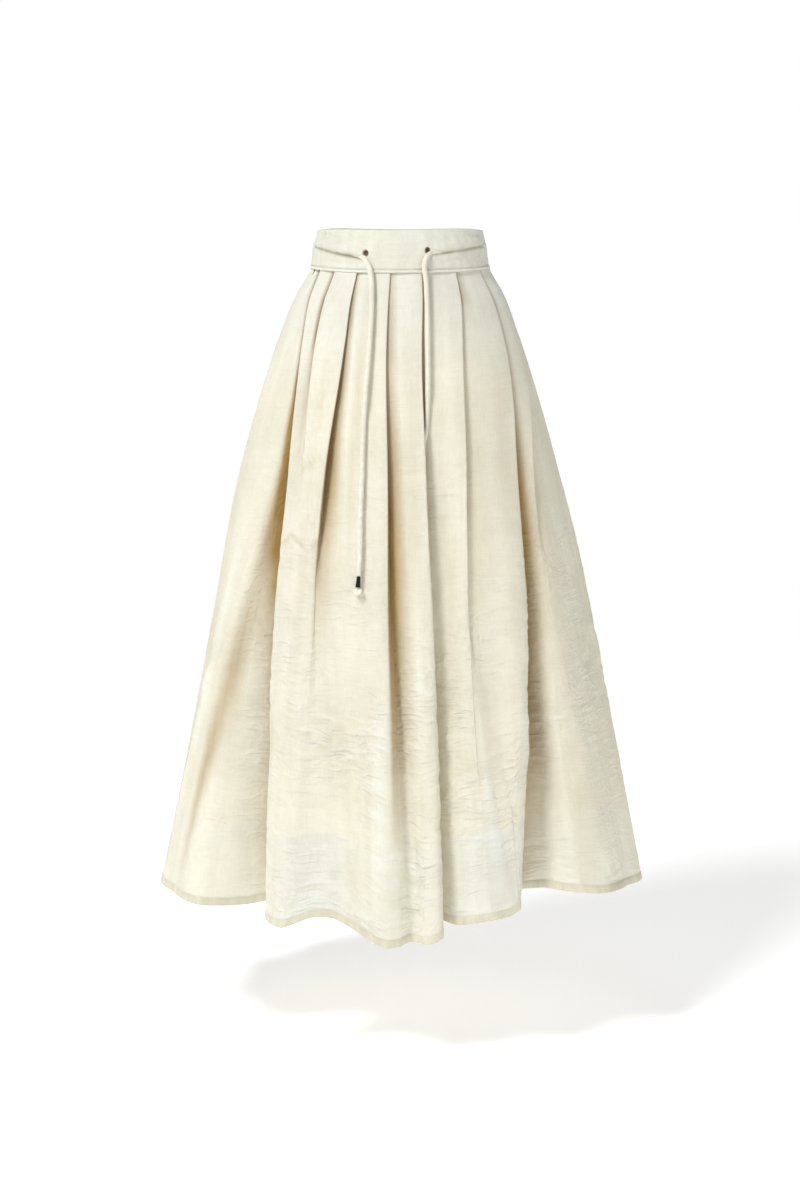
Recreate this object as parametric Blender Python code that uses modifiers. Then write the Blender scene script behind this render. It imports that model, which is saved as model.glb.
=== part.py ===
# Drawstring skirt: a hollow, worn skirt with a tunnel waistband, soft pleats, a lining and a tie.
# Metres, +Z up. The origin is the middle of the waist tube, halfway up the waistband.
# The front faces -Y. Angles run round the waist from the middle of the front, positive towards +X.

import math
from collections import namedtuple

import bmesh
import bpy
import numpy as np

NAME = "drawstring_skirt"
RIGHT, LEFT = 1, -1

# Cloth
WALL = 0.0010
LINING_WALL = 0.0010
SEWN_GAP = 0.0003
LAYER = 0.0027
SKIRT_LENGTH = 0.870
LINING_SHARE = 0.857
STEEPEST_SHARE = 0.05
MOST_LEAN = 0.3

# Waistband
BAND_HEIGHT = 0.057
BAND_TOP_SIZE = (0.1105, 0.0840)
BAND_SEAM_SIZE = (0.1205, 0.0925)
BAND_THICK = 0.0042
BAND_SIDE_DIP = 0.0035
BAND_STEPS = 72
SEAM_Z = -BAND_HEIGHT / 2
# Heights of the rows down the outer face, then up the inner face, as shares of half the height
BAND_OUTSIDE = (0.96, 0.75, 0.50, 0.32, 0.16, 0.0, -0.22, -0.60, -1.0)
BAND_INSIDE = (-1.0, -0.40, -0.08, 0.16, 0.42, 0.96)

# The tunnel that the tie runs in, from one hole round the back to the other
TUNNEL_Z = 0.0045
TUNNEL_BULGE = 0.0030
TUNNEL_BULGE_HEIGHT = 0.0095
TUNNEL_ENDS = (-33.0, 30.0)
TUNNEL_FADES = 10.0

# Tie, its hard tip and its end knot
CORD_WIDTH = 0.0070
CORD_ROUNDNESS = 2
CORD_STEP = 2.4 * CORD_WIDTH
CORD_BEND_STEP = 1.0 * CORD_WIDTH
CORD_BEND_LENGTH = 0.050
TIP_WIDTH = 0.0056
TIP_LENGTH = 0.0145
KNOT_SIZES = {"left": (0.0130, 0.0100, 0.0104), "right": (0.0100, 0.0096, 0.0116)}
KNOT_GROOVE_DEPTH = 0.16
KNOT_GROOVE_WIDTH = 0.13
KNOT_GROOVE_SLANT = 0.35
ROUTE_STEPS = 12
WELD = 0.00001

# Routes of the two free ends, from the tunnel out through the hole and down the cloth
LEFT_ROUTE = (
    (-0.0613, -0.0717, 0.0045), (-0.0537, -0.0751, 0.0045), (-0.0480, -0.0792, 0.0025),
    (-0.0438, -0.0852, -0.0035), (-0.0408, -0.0889, -0.0115), (-0.0388, -0.0910, -0.0220),
    (-0.0374, -0.0938, -0.0340), (-0.0366, -0.0984, -0.0500), (-0.0371, -0.1104, -0.0830),
    (-0.0388, -0.1173, -0.1070), (-0.0409, -0.1258, -0.1390), (-0.0452, -0.1367, -0.1900),
    (-0.0478, -0.1457, -0.2390), (-0.0493, -0.1546, -0.2870), (-0.0505, -0.1590, -0.3180),
    (-0.0514, -0.1634, -0.3480), (-0.0515, -0.1680, -0.3770), (-0.0523, -0.1706, -0.3965),
    (-0.0535, -0.1724, -0.4146),
)
RIGHT_ROUTE = (
    (0.0563, -0.0740, 0.0045), (0.0476, -0.0775, 0.0045), (0.0408, -0.0814, 0.0030),
    (0.0358, -0.0868, -0.0020), (0.0328, -0.0903, -0.0095), (0.0318, -0.0919, -0.0190),
    (0.0325, -0.0937, -0.0290), (0.0340, -0.0958, -0.0400), (0.0350, -0.0988, -0.0560),
    (0.0356, -0.1046, -0.0756), (0.0358, -0.1150, -0.1113), (0.0362, -0.1240, -0.1470),
    (0.0361, -0.1313, -0.1830), (0.0352, -0.1345, -0.2090), (0.0335, -0.1362, -0.2300),
    (0.0302, -0.1376, -0.2500), (0.0291, -0.1397, -0.2700), (0.0290, -0.1417, -0.2900),
    (0.0293, -0.1446, -0.3200), (0.0300, -0.1482, -0.3600), (0.0312, -0.1523, -0.3950),
    (0.0338, -0.1551, -0.4116),
)

# Sections of the skirt, worn: share of the cloth's length below the seam, half width, half depth
SECTIONS = (
    (0.00, 0.120, 0.092),
    (0.04, 0.140, 0.104),
    (0.10, 0.161, 0.120),
    (0.20, 0.189, 0.142),
    (0.35, 0.2235, 0.168),
    (0.55, 0.2585, 0.194),
    (0.78, 0.296, 0.222),
    (1.00, 0.332, 0.245),
)
ROWS = (0.0, 0.02, 0.06, 0.12, 0.20, 0.30, 0.42, 0.55, 0.70, 0.83, 0.92, 1.0)

# Levels down the cloth at which the pleat table gives its angles, its laps and its depths.
# Every pleat is as deep as the others, in mm, at the seam and at the hip.
LEVELS = (0.0, 0.10, 0.30, 0.55, 1.0)
LAP_LEVELS = (0.0, 0.30, 1.0)
DEPTH_LEVELS = (0.0, 0.10, 0.30, 1.0)
SEAM_DEPTH, HIP_DEPTH = 8.0, 10.0

# Pleats: the side that the fold's edge faces, its angle in degrees at each level,
# its lap in mm at the seam, at 30 % and at the hem (below zero the fold has opened into a slope),
# and the depth in mm that it goes in at 30 % and at the hem.
Pleat = namedtuple("Pleat", "name faces angles laps depths")
FRONT_PLEATS = (
    Pleat("a", LEFT, (-82, -84, -87, -88, -88), (16, 4, -30), (10, 10)),
    Pleat("b", LEFT, (-62, -53, -44, -41, -33), (12, 12, 6), (34, 75)),
    Pleat("c", LEFT, (-46, -43.5, -36.5, -34, -29.5), (12, -6, -6), (6, 2)),
    Pleat("d", RIGHT, (-28, -26, -27, -26, -25), (20, 12, -34), (20, 48)),
    Pleat("e", RIGHT, (-6, -6, -4, -3, -1), (20, 9, -16), (13, 18)),
    Pleat("f", RIGHT, (14, 10.5, 9.5, 10, 9.5), (20, 17, 8), (30, 62)),
    Pleat("g", RIGHT, (38, 31, 24.5, 21, 21), (20, 10, -18), (12, 6)),
    Pleat("h", RIGHT, (62, 58.5, 47, 41, 30), (20, 14, 6), (20, 62)),
    Pleat("i", RIGHT, (86, 78, 57, 50, 47), (16, 6, -24), (12, 8)),
)
BACK_PLEATS = (
    Pleat("j", RIGHT, (110, 112, 114, 116, 118), (20, 8, -20), (14, 30)),
    Pleat("k", RIGHT, (132, 134, 137, 139, 142), (20, 14, 6), (20, 58)),
    Pleat("l", RIGHT, (154, 155, 156, 157, 158), (20, 9, -22), (14, 22)),
    Pleat("m", RIGHT, (175, 175, 174, 173, 171), (20, 14, 8), (20, 55)),
    Pleat("n", LEFT, (186, 187, 188, 189, 190), (20, 14, 8), (20, 55)),
    Pleat("o", LEFT, (208, 207, 206, 205, 204), (20, 8, -24), (13, 20)),
    Pleat("p", LEFT, (230, 228, 225, 223, 221), (20, 14, 6), (20, 60)),
    Pleat("q", LEFT, (252, 250, 248, 246, 244), (20, 8, -20), (14, 26)),
)
SIDE_SEAM = 98.0

# The lip beside pleat b, where the panel on its left turns in: degrees before the edge, and mm in
LIP_PLEAT = "b"
LIP_GAPS = (0, 0, 4, 18, 24)
LIP_DEPTHS = (5.5, 6.5, 4, 2, 0)

# How far each fold is rounded at each level, in mm, and how soft the pinch at its edge is:
# from a pressed pair of layers up to the most of the fold's depth that a soft one takes
ROUNDING = (1.8, 3, 6, 18, 34)
SOFTNESS = (0, 0, 0.15, 0.5, 0.85)
MOST_PINCH = 0.45

# Rise of the hem in mm against the angle round the skirt, and how fast it fades up the cloth
HEM_RISES = ((-180, 0), (-110, 0), (-65, 12), (-55, 12), (-45, 21), (-38, 32), (-34.5, 33), (-32, 13),
             (-27.5, 7), (-21, 15), (-15.5, 16), (-11.5, 13), (-7.5, 5), (-3.5, -8), (0, -4), (3, -1),
             (7, -6), (9, 0), (11, 24), (14.5, 16), (20, 22), (26, 24), (29.5, 33), (32.5, 50),
             (39, 50), (44, 42), (51, 30), (62, 23), (80, 8), (100, 0), (180, 0))
HEM_RISE_FADE = 4

# Points of the wall along a fold's corners and along a panel, and the most of a panel's length
# that the rounding at one end may take
CORNER_SHARES = (0.15, 0.85)
PANEL_POINTS = 3
MOST_ROUNDED = 0.42

# Lining sections: share of the skirt's length, and how far inside the skirt's section it hangs
LINING_ROWS = ((0.0, 0.0095), (0.04, 0.0125), (0.10, 0.017), (0.20, 0.030), (0.35, 0.050),
               (0.55, 0.066), (LINING_SHARE, 0.084))
LINING_STEPS = 40

SHARP_DEGREES = 50

# Colours of the finishes, linear
IVORY = (0.83, 0.80, 0.69, 1.0)
LINING_CREAM = (0.80, 0.75, 0.62, 1.0)
TIP_BLACK = (0.02, 0.02, 0.02, 1.0)


# Curves through the tables


def through(places, values, x):
    """A smooth curve through a table's values."""
    places, values = np.asarray(places, float), np.asarray(values, float)
    slopes = np.gradient(values, places)
    k = int(np.clip(np.searchsorted(places, x) - 1, 0, len(places) - 2))
    span = places[k + 1] - places[k]
    u = (x - places[k]) / span
    start = (2 * u**3 - 3 * u**2 + 1) * values[k] + (u**3 - 2 * u**2 + u) * span * slopes[k]
    end = (3 * u**2 - 2 * u**3) * values[k + 1] + (u**3 - u**2) * span * slopes[k + 1]
    return start + end


def size_at(share):
    shares, widths, depths = zip(*SECTIONS)
    return through(shares, widths, share), through(shares, depths, share)


def hem_rise(angle):
    angles, rises = zip(*HEM_RISES)
    wrapped = (angle + 180) % 360 - 180
    return float(np.interp(wrapped, angles, rises)) / 1000


def place(angle, offset, share):
    """The point of the worn cloth at this angle, this far out of its section, this far down."""
    turn = math.radians(angle)
    top, here = size_at(0), size_at(share)
    travel = math.hypot((here[0] - top[0]) * math.sin(turn), (here[1] - top[1]) * math.cos(turn))
    lean = (travel + offset) / max(share, STEEPEST_SHARE)
    drop = math.sqrt(SKIRT_LENGTH**2 - min(lean, MOST_LEAN) ** 2)
    rise = hem_rise(angle) * share**HEM_RISE_FADE
    return (
        (here[0] + offset) * math.sin(turn),
        -(here[1] + offset) * math.cos(turn),
        SEAM_Z - 2 * SEWN_GAP - drop * share + rise,
    )


# Folds of the pleated cloth


def arc_per_degree(angle, share):
    half_width, half_depth = size_at(share)
    turn = math.radians(angle)
    return math.radians(1) * math.hypot(half_width * math.cos(turn), half_depth * math.sin(turn))


def fold_corners(pleat, share):
    """Corners of one pleat in order round the skirt, each an angle and how far out it lies."""
    edge = through(LEVELS, pleat.angles, share)
    lap = through(LAP_LEVELS, pleat.laps, share) / 1000
    depth = through(DEPTH_LEVELS, (SEAM_DEPTH, HIP_DEPTH, *pleat.depths), share) / 1000
    soft = through(LEVELS, SOFTNESS, share)
    softest = MOST_PINCH * depth
    pinch = min(LAYER + soft * (softest - LAYER), softest)
    inner = edge - pleat.faces * lap / arc_per_degree(edge, share)
    corners = [(edge, 0.0), (edge, -pinch), (inner, pinch - depth), (inner, -depth)]
    if pleat.faces == LEFT:
        corners.reverse()
    if pleat.name == LIP_PLEAT:
        gap = through(LEVELS, LIP_GAPS, share)
        lip_depth = through(LEVELS, LIP_DEPTHS, share) / 1000
        corners.insert(0, (edge - gap, -lip_depth))
    return corners


def along(first, second, share):
    return (first[0] + (second[0] - first[0]) * share, first[1] + (second[1] - first[1]) * share)


def seam_corner(before, after, angle):
    """The point of the panel between two pleats where a side seam crosses it."""
    return along(before, after, (angle - before[0]) / (after[0] - before[0]))


def panel_corners(pleats, before, after, ends, share):
    """Corners of the front or the back cloth, from one side seam to the other, gap included."""
    folds = [fold_corners(pleat, share) for pleat in pleats]
    start = seam_corner(before, folds[0][0], ends[0])
    end = seam_corner(folds[-1][-1], after, ends[1])
    half_gap = SEWN_GAP / 2 / arc_per_degree(ends[0], share)
    return [[(start[0] + half_gap, start[1])], *folds, [(end[0] - half_gap, end[1])]]


def turned(corner, degrees):
    return (corner[0] + degrees, corner[1])


def front_corners(share):
    before = turned(fold_corners(BACK_PLEATS[-1], share)[-1], -360)
    after = fold_corners(BACK_PLEATS[0], share)[0]
    return panel_corners(FRONT_PLEATS, before, after, (-SIDE_SEAM, SIDE_SEAM), share)


def back_corners(share):
    before = fold_corners(FRONT_PLEATS[-1], share)[-1]
    after = turned(fold_corners(FRONT_PLEATS[0], share)[0], 360)
    return panel_corners(BACK_PLEATS, before, after, (SIDE_SEAM, 360 - SIDE_SEAM), share)


def section_points(folds, share):
    """Points along one section: the rounded corners of each fold, and each panel between folds."""
    corners = [corner for fold in folds for corner in fold]
    ends_fold = set(np.cumsum([len(fold) for fold in folds]) - 1)
    rounding = through(LEVELS, ROUNDING, share) / 1000
    points, left_at = [corners[0]], corners[0]
    for k in range(1, len(corners) - 1):
        before, here, after = corners[k - 1], corners[k], corners[k + 1]
        scale = arc_per_degree(here[0], share)
        to_before = math.hypot((here[0] - before[0]) * scale, here[1] - before[1])
        to_after = math.hypot((here[0] - after[0]) * scale, here[1] - after[1])
        entry = along(here, before, min(rounding / to_before, MOST_ROUNDED))
        leave = along(here, after, min(rounding / to_after, MOST_ROUNDED))
        if k - 1 in ends_fold:
            steps = PANEL_POINTS + 1
            points += [along(left_at, entry, step / steps) for step in range(1, steps)]
        for turn in CORNER_SHARES:
            points.append(along(along(entry, here, turn), along(here, leave, turn), turn))
        left_at = leave
    steps = PANEL_POINTS + 1
    points += [along(left_at, corners[-1], step / steps) for step in range(1, steps)]
    return points + [corners[-1]]


# Blender objects


def new_collection(name, parent=None):
    collection = bpy.data.collections.new(name)
    (parent or bpy.context.scene.collection).children.link(collection)
    return collection


def finish(name, colour, roughness):
    material = bpy.data.materials.new(name)
    material.use_nodes = True
    shader = material.node_tree.nodes["Principled BSDF"]
    shader.inputs["Base Color"].default_value = colour
    shader.inputs["Roughness"].default_value = roughness
    shader.inputs["Metallic"].default_value = 0.0
    return material


def mesh_object(name, mesh, collection, material):
    obj = bpy.data.objects.new(name, mesh)
    collection.objects.link(obj)
    if material:
        mesh.materials.append(material)
    mesh.shade_smooth()
    mesh.set_sharp_from_angle(angle=math.radians(SHARP_DEGREES))
    return obj


def sheet_mesh(name, rows, closed):
    """An open sheet through rows of points, its faces pointing out of the skirt."""
    mesh = bpy.data.meshes.new(name)
    bm = bmesh.new()
    grid = [[bm.verts.new(point) for point in row] for row in rows]
    count = len(rows[0])
    for upper, lower in zip(grid, grid[1:]):
        for k in range(count if closed else count - 1):
            after = (k + 1) % count
            bm.faces.new((upper[k], lower[k], lower[after], upper[after]))
    bm.to_mesh(mesh)
    bm.free()
    return mesh


def solidify(obj, thickness):
    wall = obj.modifiers.new("Wall", "SOLIDIFY")
    wall.thickness = thickness
    wall.offset = 0.0


def build_panel(name, corners_at, collection, material):
    rows = []
    for share in ROWS:
        outline = section_points(corners_at(share), share)
        rows.append([place(angle, offset, share) for angle, offset in outline])
    panel = mesh_object(name, sheet_mesh(name, rows, closed=False), collection, material)
    solidify(panel, WALL)
    return panel


def build_lining(collection, material):
    rows = []
    for share, inside in LINING_ROWS:
        angles = [360 * step / LINING_STEPS for step in range(LINING_STEPS)]
        rows.append([place(angle, -inside, share) for angle in angles])
    lining = mesh_object("lining", sheet_mesh("lining", rows, closed=True), collection, material)
    solidify(lining, LINING_WALL)
    return lining


# Waistband


def band_size(z):
    share = (z - SEAM_Z) / BAND_HEIGHT
    return tuple(seam + (top - seam) * share for seam, top in zip(BAND_SEAM_SIZE, BAND_TOP_SIZE))


def tunnel_presence(angle):
    """1 where the tie runs inside the band, falling to 0 across the front between the holes."""
    wrapped = (angle + 180) % 360 - 180
    inside = max(TUNNEL_ENDS[0] - wrapped, wrapped - TUNNEL_ENDS[1]) + TUNNEL_FADES
    share = min(max(inside / TUNNEL_FADES, 0.0), 1.0)
    return share * share * (3 - 2 * share)


def band_point(angle, height, out):
    """A point of the band: height from -1 to 1, and out 0 on its mid surface, 1 on its outer face."""
    turn = math.radians(angle)
    dip = BAND_SIDE_DIP * math.sin(turn) ** 2 * (height + 1) / 2
    z = height * BAND_HEIGHT / 2 - dip
    half_width, half_depth = band_size(height * BAND_HEIGHT / 2)
    rise = math.exp(-(((z - TUNNEL_Z) / TUNNEL_BULGE_HEIGHT) ** 2))
    bulge = TUNNEL_BULGE * rise * tunnel_presence(angle)
    offset = -BAND_THICK / 2 + out * (BAND_THICK / 2 + bulge)
    return (
        (half_width + offset) * math.sin(turn),
        -(half_depth + offset) * math.cos(turn),
        z,
    )


def build_waistband(collection, cutters, material):
    profile = [(1.0, 0.0)]
    profile += [(height, 1.0) for height in BAND_OUTSIDE]
    profile += [(height, -1.0) for height in BAND_INSIDE]
    angles = [360 * step / BAND_STEPS for step in range(BAND_STEPS)]
    mesh = bpy.data.meshes.new("waistband")
    bm = bmesh.new()
    rings = [[bm.verts.new(band_point(angle, *at)) for angle in angles] for at in profile]
    for upper, lower in zip(rings, rings[1:] + rings[:1]):
        for k in range(BAND_STEPS):
            after = (k + 1) % BAND_STEPS
            bm.faces.new((upper[k], lower[k], lower[after], upper[after]))
    bm.to_mesh(mesh)
    bm.free()
    band = mesh_object("waistband", mesh, collection, material)
    passage = tunnel_cutter(cutters)
    cut = band.modifiers.new("Tunnel and holes", "BOOLEAN")
    cut.operation = "DIFFERENCE"
    cut.object = passage
    return band


# Tie


def smooth_route(route):
    """Many points along a smooth curve through a route's own points."""
    points = [np.array(point) for point in route]
    points = [2 * points[0] - points[1], *points, 2 * points[-1] - points[-2]]
    fine = []
    for before, start, end, after in zip(points, points[1:], points[2:], points[3:]):
        for u in np.linspace(0, 1, ROUTE_STEPS, endpoint=False):
            fine.append(
                0.5 * (2 * start + (end - before) * u
                       + (2 * before - 5 * start + 4 * end - after) * u**2
                       + (3 * start - before - 3 * end + after) * u**3)
            )
    return np.array([*fine, points[-2]])


def tail_points(route):
    """The points of a free end's tube: close together round its bend, wider further down."""
    fine = smooth_route(route)
    lengths = np.concatenate([[0], np.cumsum(np.linalg.norm(np.diff(fine, axis=0), axis=1))])
    bend_steps = round(CORD_BEND_LENGTH / CORD_BEND_STEP)
    steps = round((lengths[-1] - CORD_BEND_LENGTH) / CORD_STEP)
    places = np.concatenate([
        np.linspace(0, CORD_BEND_LENGTH, bend_steps, endpoint=False),
        np.linspace(CORD_BEND_LENGTH, lengths[-1], steps + 1),
    ])
    return np.column_stack([np.interp(places, lengths, fine[:, axis]) for axis in range(3)])


def tunnel_points():
    """The middle of the tunnel, from the left free end round the back to the right one."""
    half_width, half_depth = (size - BAND_THICK / 2 for size in band_size(TUNNEL_Z))
    start, end = TUNNEL_ENDS[0], TUNNEL_ENDS[1] - 360
    length = math.radians(start - end) * (half_width + half_depth) / 2
    angles = np.radians(np.linspace(start, end, round(length / CORD_STEP) + 1))
    heights = np.full(len(angles), TUNNEL_Z)
    return np.column_stack([half_width * np.sin(angles), -half_depth * np.cos(angles), heights])


def tube(name, points, width, collection, material):
    curve = bpy.data.curves.new(name, "CURVE")
    curve.dimensions = "3D"
    curve.bevel_depth = width / 2
    curve.bevel_resolution = CORD_ROUNDNESS
    curve.use_fill_caps = True
    spline = curve.splines.new("POLY")
    spline.points.add(len(points) - 1)
    for at, point in zip(spline.points, points):
        at.co = (*point, 1.0)
    if material:
        curve.materials.append(material)
    obj = bpy.data.objects.new(name, curve)
    collection.objects.link(obj)
    return obj


def pulled_back(points, gap):
    """The same points, with the last one moved back by a gap."""
    last = points[-1] - points[-2]
    return np.array([*points[:-1], points[-1] - last * gap / np.linalg.norm(last)])


def tunnel_cutter(collection):
    """A closed mesh a little thicker than the tie, along the tunnel and out through both holes."""
    outside = round(CORD_BEND_LENGTH / CORD_BEND_STEP)
    left = tail_points(LEFT_ROUTE)[1:outside][::-1]
    right = tail_points(RIGHT_ROUTE)[1:outside]
    points = np.concatenate([left, tunnel_points(), right])
    guide = tube("tunnel_guide", points, CORD_WIDTH + 2 * SEWN_GAP, collection, None)
    graph = bpy.context.evaluated_depsgraph_get()
    mesh = bpy.data.meshes.new_from_object(guide.evaluated_get(graph))
    bpy.data.objects.remove(guide, do_unlink=True)
    bm = bmesh.new()
    bm.from_mesh(mesh)
    bmesh.ops.remove_doubles(bm, verts=bm.verts, dist=WELD)
    bmesh.ops.recalc_face_normals(bm, faces=bm.faces)
    bm.to_mesh(mesh)
    bm.free()
    cutter = mesh_object("tunnel_cutter", mesh, collection, None)
    cutter.hide_render = True
    cutter.display_type = "WIRE"
    return cutter


def build_tip(name, start, direction, collection, material):
    """The hard sleeve at the end of the tie."""
    ends = [start + direction * SEWN_GAP, start + direction * (SEWN_GAP + TIP_LENGTH)]
    tube(name, ends, TIP_WIDTH, collection, material)
    return ends[1]


def build_knot(name, size, start, direction, collection, material):
    """The end knot: a squashed ball drawn in round its middle."""
    mesh = bpy.data.meshes.new(name)
    bm = bmesh.new()
    bmesh.ops.create_uvsphere(bm, u_segments=14, v_segments=9, radius=0.5)
    centre = start + direction * (SEWN_GAP + size[2] / 2)
    for vert in bm.verts:
        x, y, z = vert.co
        across = (z + KNOT_GROOVE_SLANT * x) / KNOT_GROOVE_WIDTH
        waist = 1 - KNOT_GROOVE_DEPTH * math.exp(-across**2)
        vert.co = (
            centre[0] + x * waist * size[0],
            centre[1] + y * waist * size[1],
            centre[2] + z * size[2],
        )
    bm.to_mesh(mesh)
    bm.free()
    return mesh_object(name, mesh, collection, material)


def build_tie(collection, cloth, hard):
    tunnel = tunnel_points()
    inner = pulled_back(pulled_back(tunnel, 2 * SEWN_GAP)[::-1], 2 * SEWN_GAP)
    tube("tie_in_tunnel", inner, CORD_WIDTH, collection, cloth)
    for side, route in (("left", LEFT_ROUTE), ("right", RIGHT_ROUTE)):
        points = tail_points(route)
        tube(f"tie_{side}", points, CORD_WIDTH, collection, cloth)
        direction = (points[-1] - points[-2]) / np.linalg.norm(points[-1] - points[-2])
        end = build_tip(f"tie_tip_{side}", points[-1], direction, collection, hard)
        build_knot(f"tie_knot_{side}", KNOT_SIZES[side], end, direction, collection, cloth)


def clear_scene():
    for obj in list(bpy.data.objects):
        bpy.data.objects.remove(obj, do_unlink=True)


def main():
    clear_scene()
    parts = new_collection(NAME)
    cutters = new_collection("cutters")
    cloth = finish("ivory_linen", IVORY, 0.85)
    lining_cloth = finish("cream_lining", LINING_CREAM, 0.7)
    hard = finish("black_tip", TIP_BLACK, 0.35)
    build_waistband(parts, cutters, cloth)
    build_panel("front_panel", front_corners, parts, cloth)
    build_panel("back_panel", back_corners, parts, cloth)
    build_lining(parts, lining_cloth)
    build_tie(parts, cloth, hard)


main()
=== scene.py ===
# Drawstring skirt, dressed: fine cloth, hems, stitches, tie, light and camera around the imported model.
# Metres, +Z up, front towards -Y. Angles run round the waist from the front middle, positive towards +X.
import math

import bmesh
import bpy
import numpy as np
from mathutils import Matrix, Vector


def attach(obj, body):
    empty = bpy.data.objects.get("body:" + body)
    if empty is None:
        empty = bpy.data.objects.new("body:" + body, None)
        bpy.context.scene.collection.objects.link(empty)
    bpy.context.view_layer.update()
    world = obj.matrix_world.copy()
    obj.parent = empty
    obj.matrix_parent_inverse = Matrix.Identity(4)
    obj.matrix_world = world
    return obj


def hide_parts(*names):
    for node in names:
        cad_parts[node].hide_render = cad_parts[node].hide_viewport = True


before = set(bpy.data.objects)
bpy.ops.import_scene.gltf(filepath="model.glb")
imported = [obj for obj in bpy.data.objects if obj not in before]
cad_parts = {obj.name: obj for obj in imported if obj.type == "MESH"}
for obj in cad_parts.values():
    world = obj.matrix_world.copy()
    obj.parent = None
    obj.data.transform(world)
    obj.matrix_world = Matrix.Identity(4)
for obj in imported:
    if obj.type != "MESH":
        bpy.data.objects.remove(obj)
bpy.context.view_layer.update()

rightFacing, leftFacing = 1, -1


# Camera and light

shot = {
    "place": (0.0, -3.25, 0.0905),
    "tiltDown": 9.9,
    "lens": 72.1,
}
studio = {
    "floorHeight": -1.06,
    "floorHalf": 60.0,
    "floorGlow": (0.50, 0.76),
    "floorGlowReach": (2.2, 7.0),
    "skyTurn": (0.70, 0.88),
    "skyBehind": 1.0,
    "skyAround": 0.28,
    "lights": {  # place, aim, size and power
        "key": ((-2.0, -2.1, 2.9), (0.0, -0.1, -0.42), 1.2, 148.0),
        "fill": ((2.8, -2.2, 0.3), (0.0, 0.0, -0.45), 2.2, 24.0),
    },
}


def inScene(name, data):
    obj = bpy.data.objects.new(name, data)
    bpy.context.scene.collection.objects.link(obj)
    return obj


def softLight(name, place, aim, size, power):
    lamp = bpy.data.lights.new(name, "AREA")
    lamp.shape = "DISK"
    lamp.size = size
    lamp.energy = power
    obj = inScene(name, lamp)
    obj.location = place
    obj.rotation_euler = (Vector(aim) - Vector(place)).to_track_quat("-Z", "Y").to_euler()


def buildStudio():
    scene = bpy.context.scene
    lens = bpy.data.cameras.new("photoView")
    lens.lens = shot["lens"]
    eye = inScene("photoView", lens)
    eye.location = shot["place"]
    eye.rotation_euler = (math.radians(90 - shot["tiltDown"]), 0, 0)
    scene.camera = eye
    scene.view_settings.view_transform = "Standard"
    sky = bpy.data.worlds.new("paleSky")
    sky.use_nodes = True
    toward = addNode(sky.node_tree, "ShaderNodeTexCoord").outputs["Generated"]
    behind = addNode(sky.node_tree, "ShaderNodeSeparateXYZ", i0=toward).outputs[1]
    strength = spread(sky.node_tree, behind, *studio["skyTurn"], studio["skyAround"], studio["skyBehind"])
    sky.node_tree.links.new(strength, sky.node_tree.nodes["Background"].inputs["Strength"])
    sky.node_tree.nodes["Background"].inputs["Color"].default_value = (1.0, 1.0, 1.0, 1)
    scene.world = sky
    for name, plan in studio["lights"].items():
        softLight(name, *plan)
    half, low = studio["floorHalf"], studio["floorHeight"]
    mesh = bpy.data.meshes.new("paleFloor")
    corners = [(-half, -half, low), (half, -half, low), (half, half, low), (-half, half, low)]
    mesh.from_pydata(corners, [], [(0, 1, 2, 3)])
    floor = inScene("paleFloor", mesh)
    floor.data.materials.append(floorPaint())
    print("studio ready")


# Node helpers

def newMaterial(name):
    made = bpy.data.materials.new(name)
    made.use_nodes = True
    tree = made.node_tree
    return made, tree, tree.nodes["Principled BSDF"]


def addNode(tree, kind, settings=None, **inputs):
    made = tree.nodes.new(kind)
    for key, value in (settings or {}).items():
        setattr(made, key, value)
    for key, value in inputs.items():
        socket = made.inputs[int(key[1:])] if key[0] == "i" and key[1:].isdigit() else made.inputs[key]
        if isinstance(value, bpy.types.NodeSocket):
            tree.links.new(value, socket)
        else:
            socket.default_value = value
    return made


def maths(tree, operation, first, second=0.0):
    return addNode(tree, "ShaderNodeMath", {"operation": operation}, i0=first, i1=second).outputs[0]


def product(tree, first, second):
    return maths(tree, "MULTIPLY", first, second)


def ownPlace(tree):
    return addNode(tree, "ShaderNodeTexCoord").outputs["Object"]


# Noise with its own number of grains a metre each way
def stretchedNoise(tree, vector, stretch, detail=2.0, rough=0.5):
    moved = addNode(tree, "ShaderNodeMapping", i0=vector, Scale=stretch)
    noise = addNode(tree, "ShaderNodeTexNoise", Vector=moved.outputs[0], Scale=1.0, Detail=detail,
                    Roughness=rough)
    return noise.outputs[0]


def spread(tree, value, low, high, toLow=0.0, toHigh=1.0):
    made = addNode(tree, "ShaderNodeMapRange", Value=value, i1=low, i2=high, i3=toLow, i4=toHigh)
    return made.outputs[0]


def blended(tree, factor, first, second, kind="MIX"):
    mixer = addNode(tree, "ShaderNodeMix", {"data_type": "RGBA", "blend_type": kind}, i0=factor, i6=first,
                    i7=second)
    return mixer.outputs[2]


def floorPaint():
    paint, tree, shader = newMaterial("palePaper")
    place = ownPlace(tree)
    grain = stretchedNoise(tree, place, (3.0, 3.0, 3.0), 3.0)
    tone = blended(tree, grain, (0.93, 0.93, 0.93, 1), (0.96, 0.96, 0.96, 1))
    tree.links.new(tone, shader.inputs["Base Color"])
    tree.links.new(tone, shader.inputs["Emission Color"])
    away = addNode(tree, "ShaderNodeVectorMath", {"operation": "LENGTH"}, i0=place).outputs[1]
    tree.links.new(spread(tree, away, *studio["floorGlowReach"], *studio["floorGlow"]),
                   shader.inputs["Emission Strength"])
    shader.inputs["Roughness"].default_value = 0.9
    return paint


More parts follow.
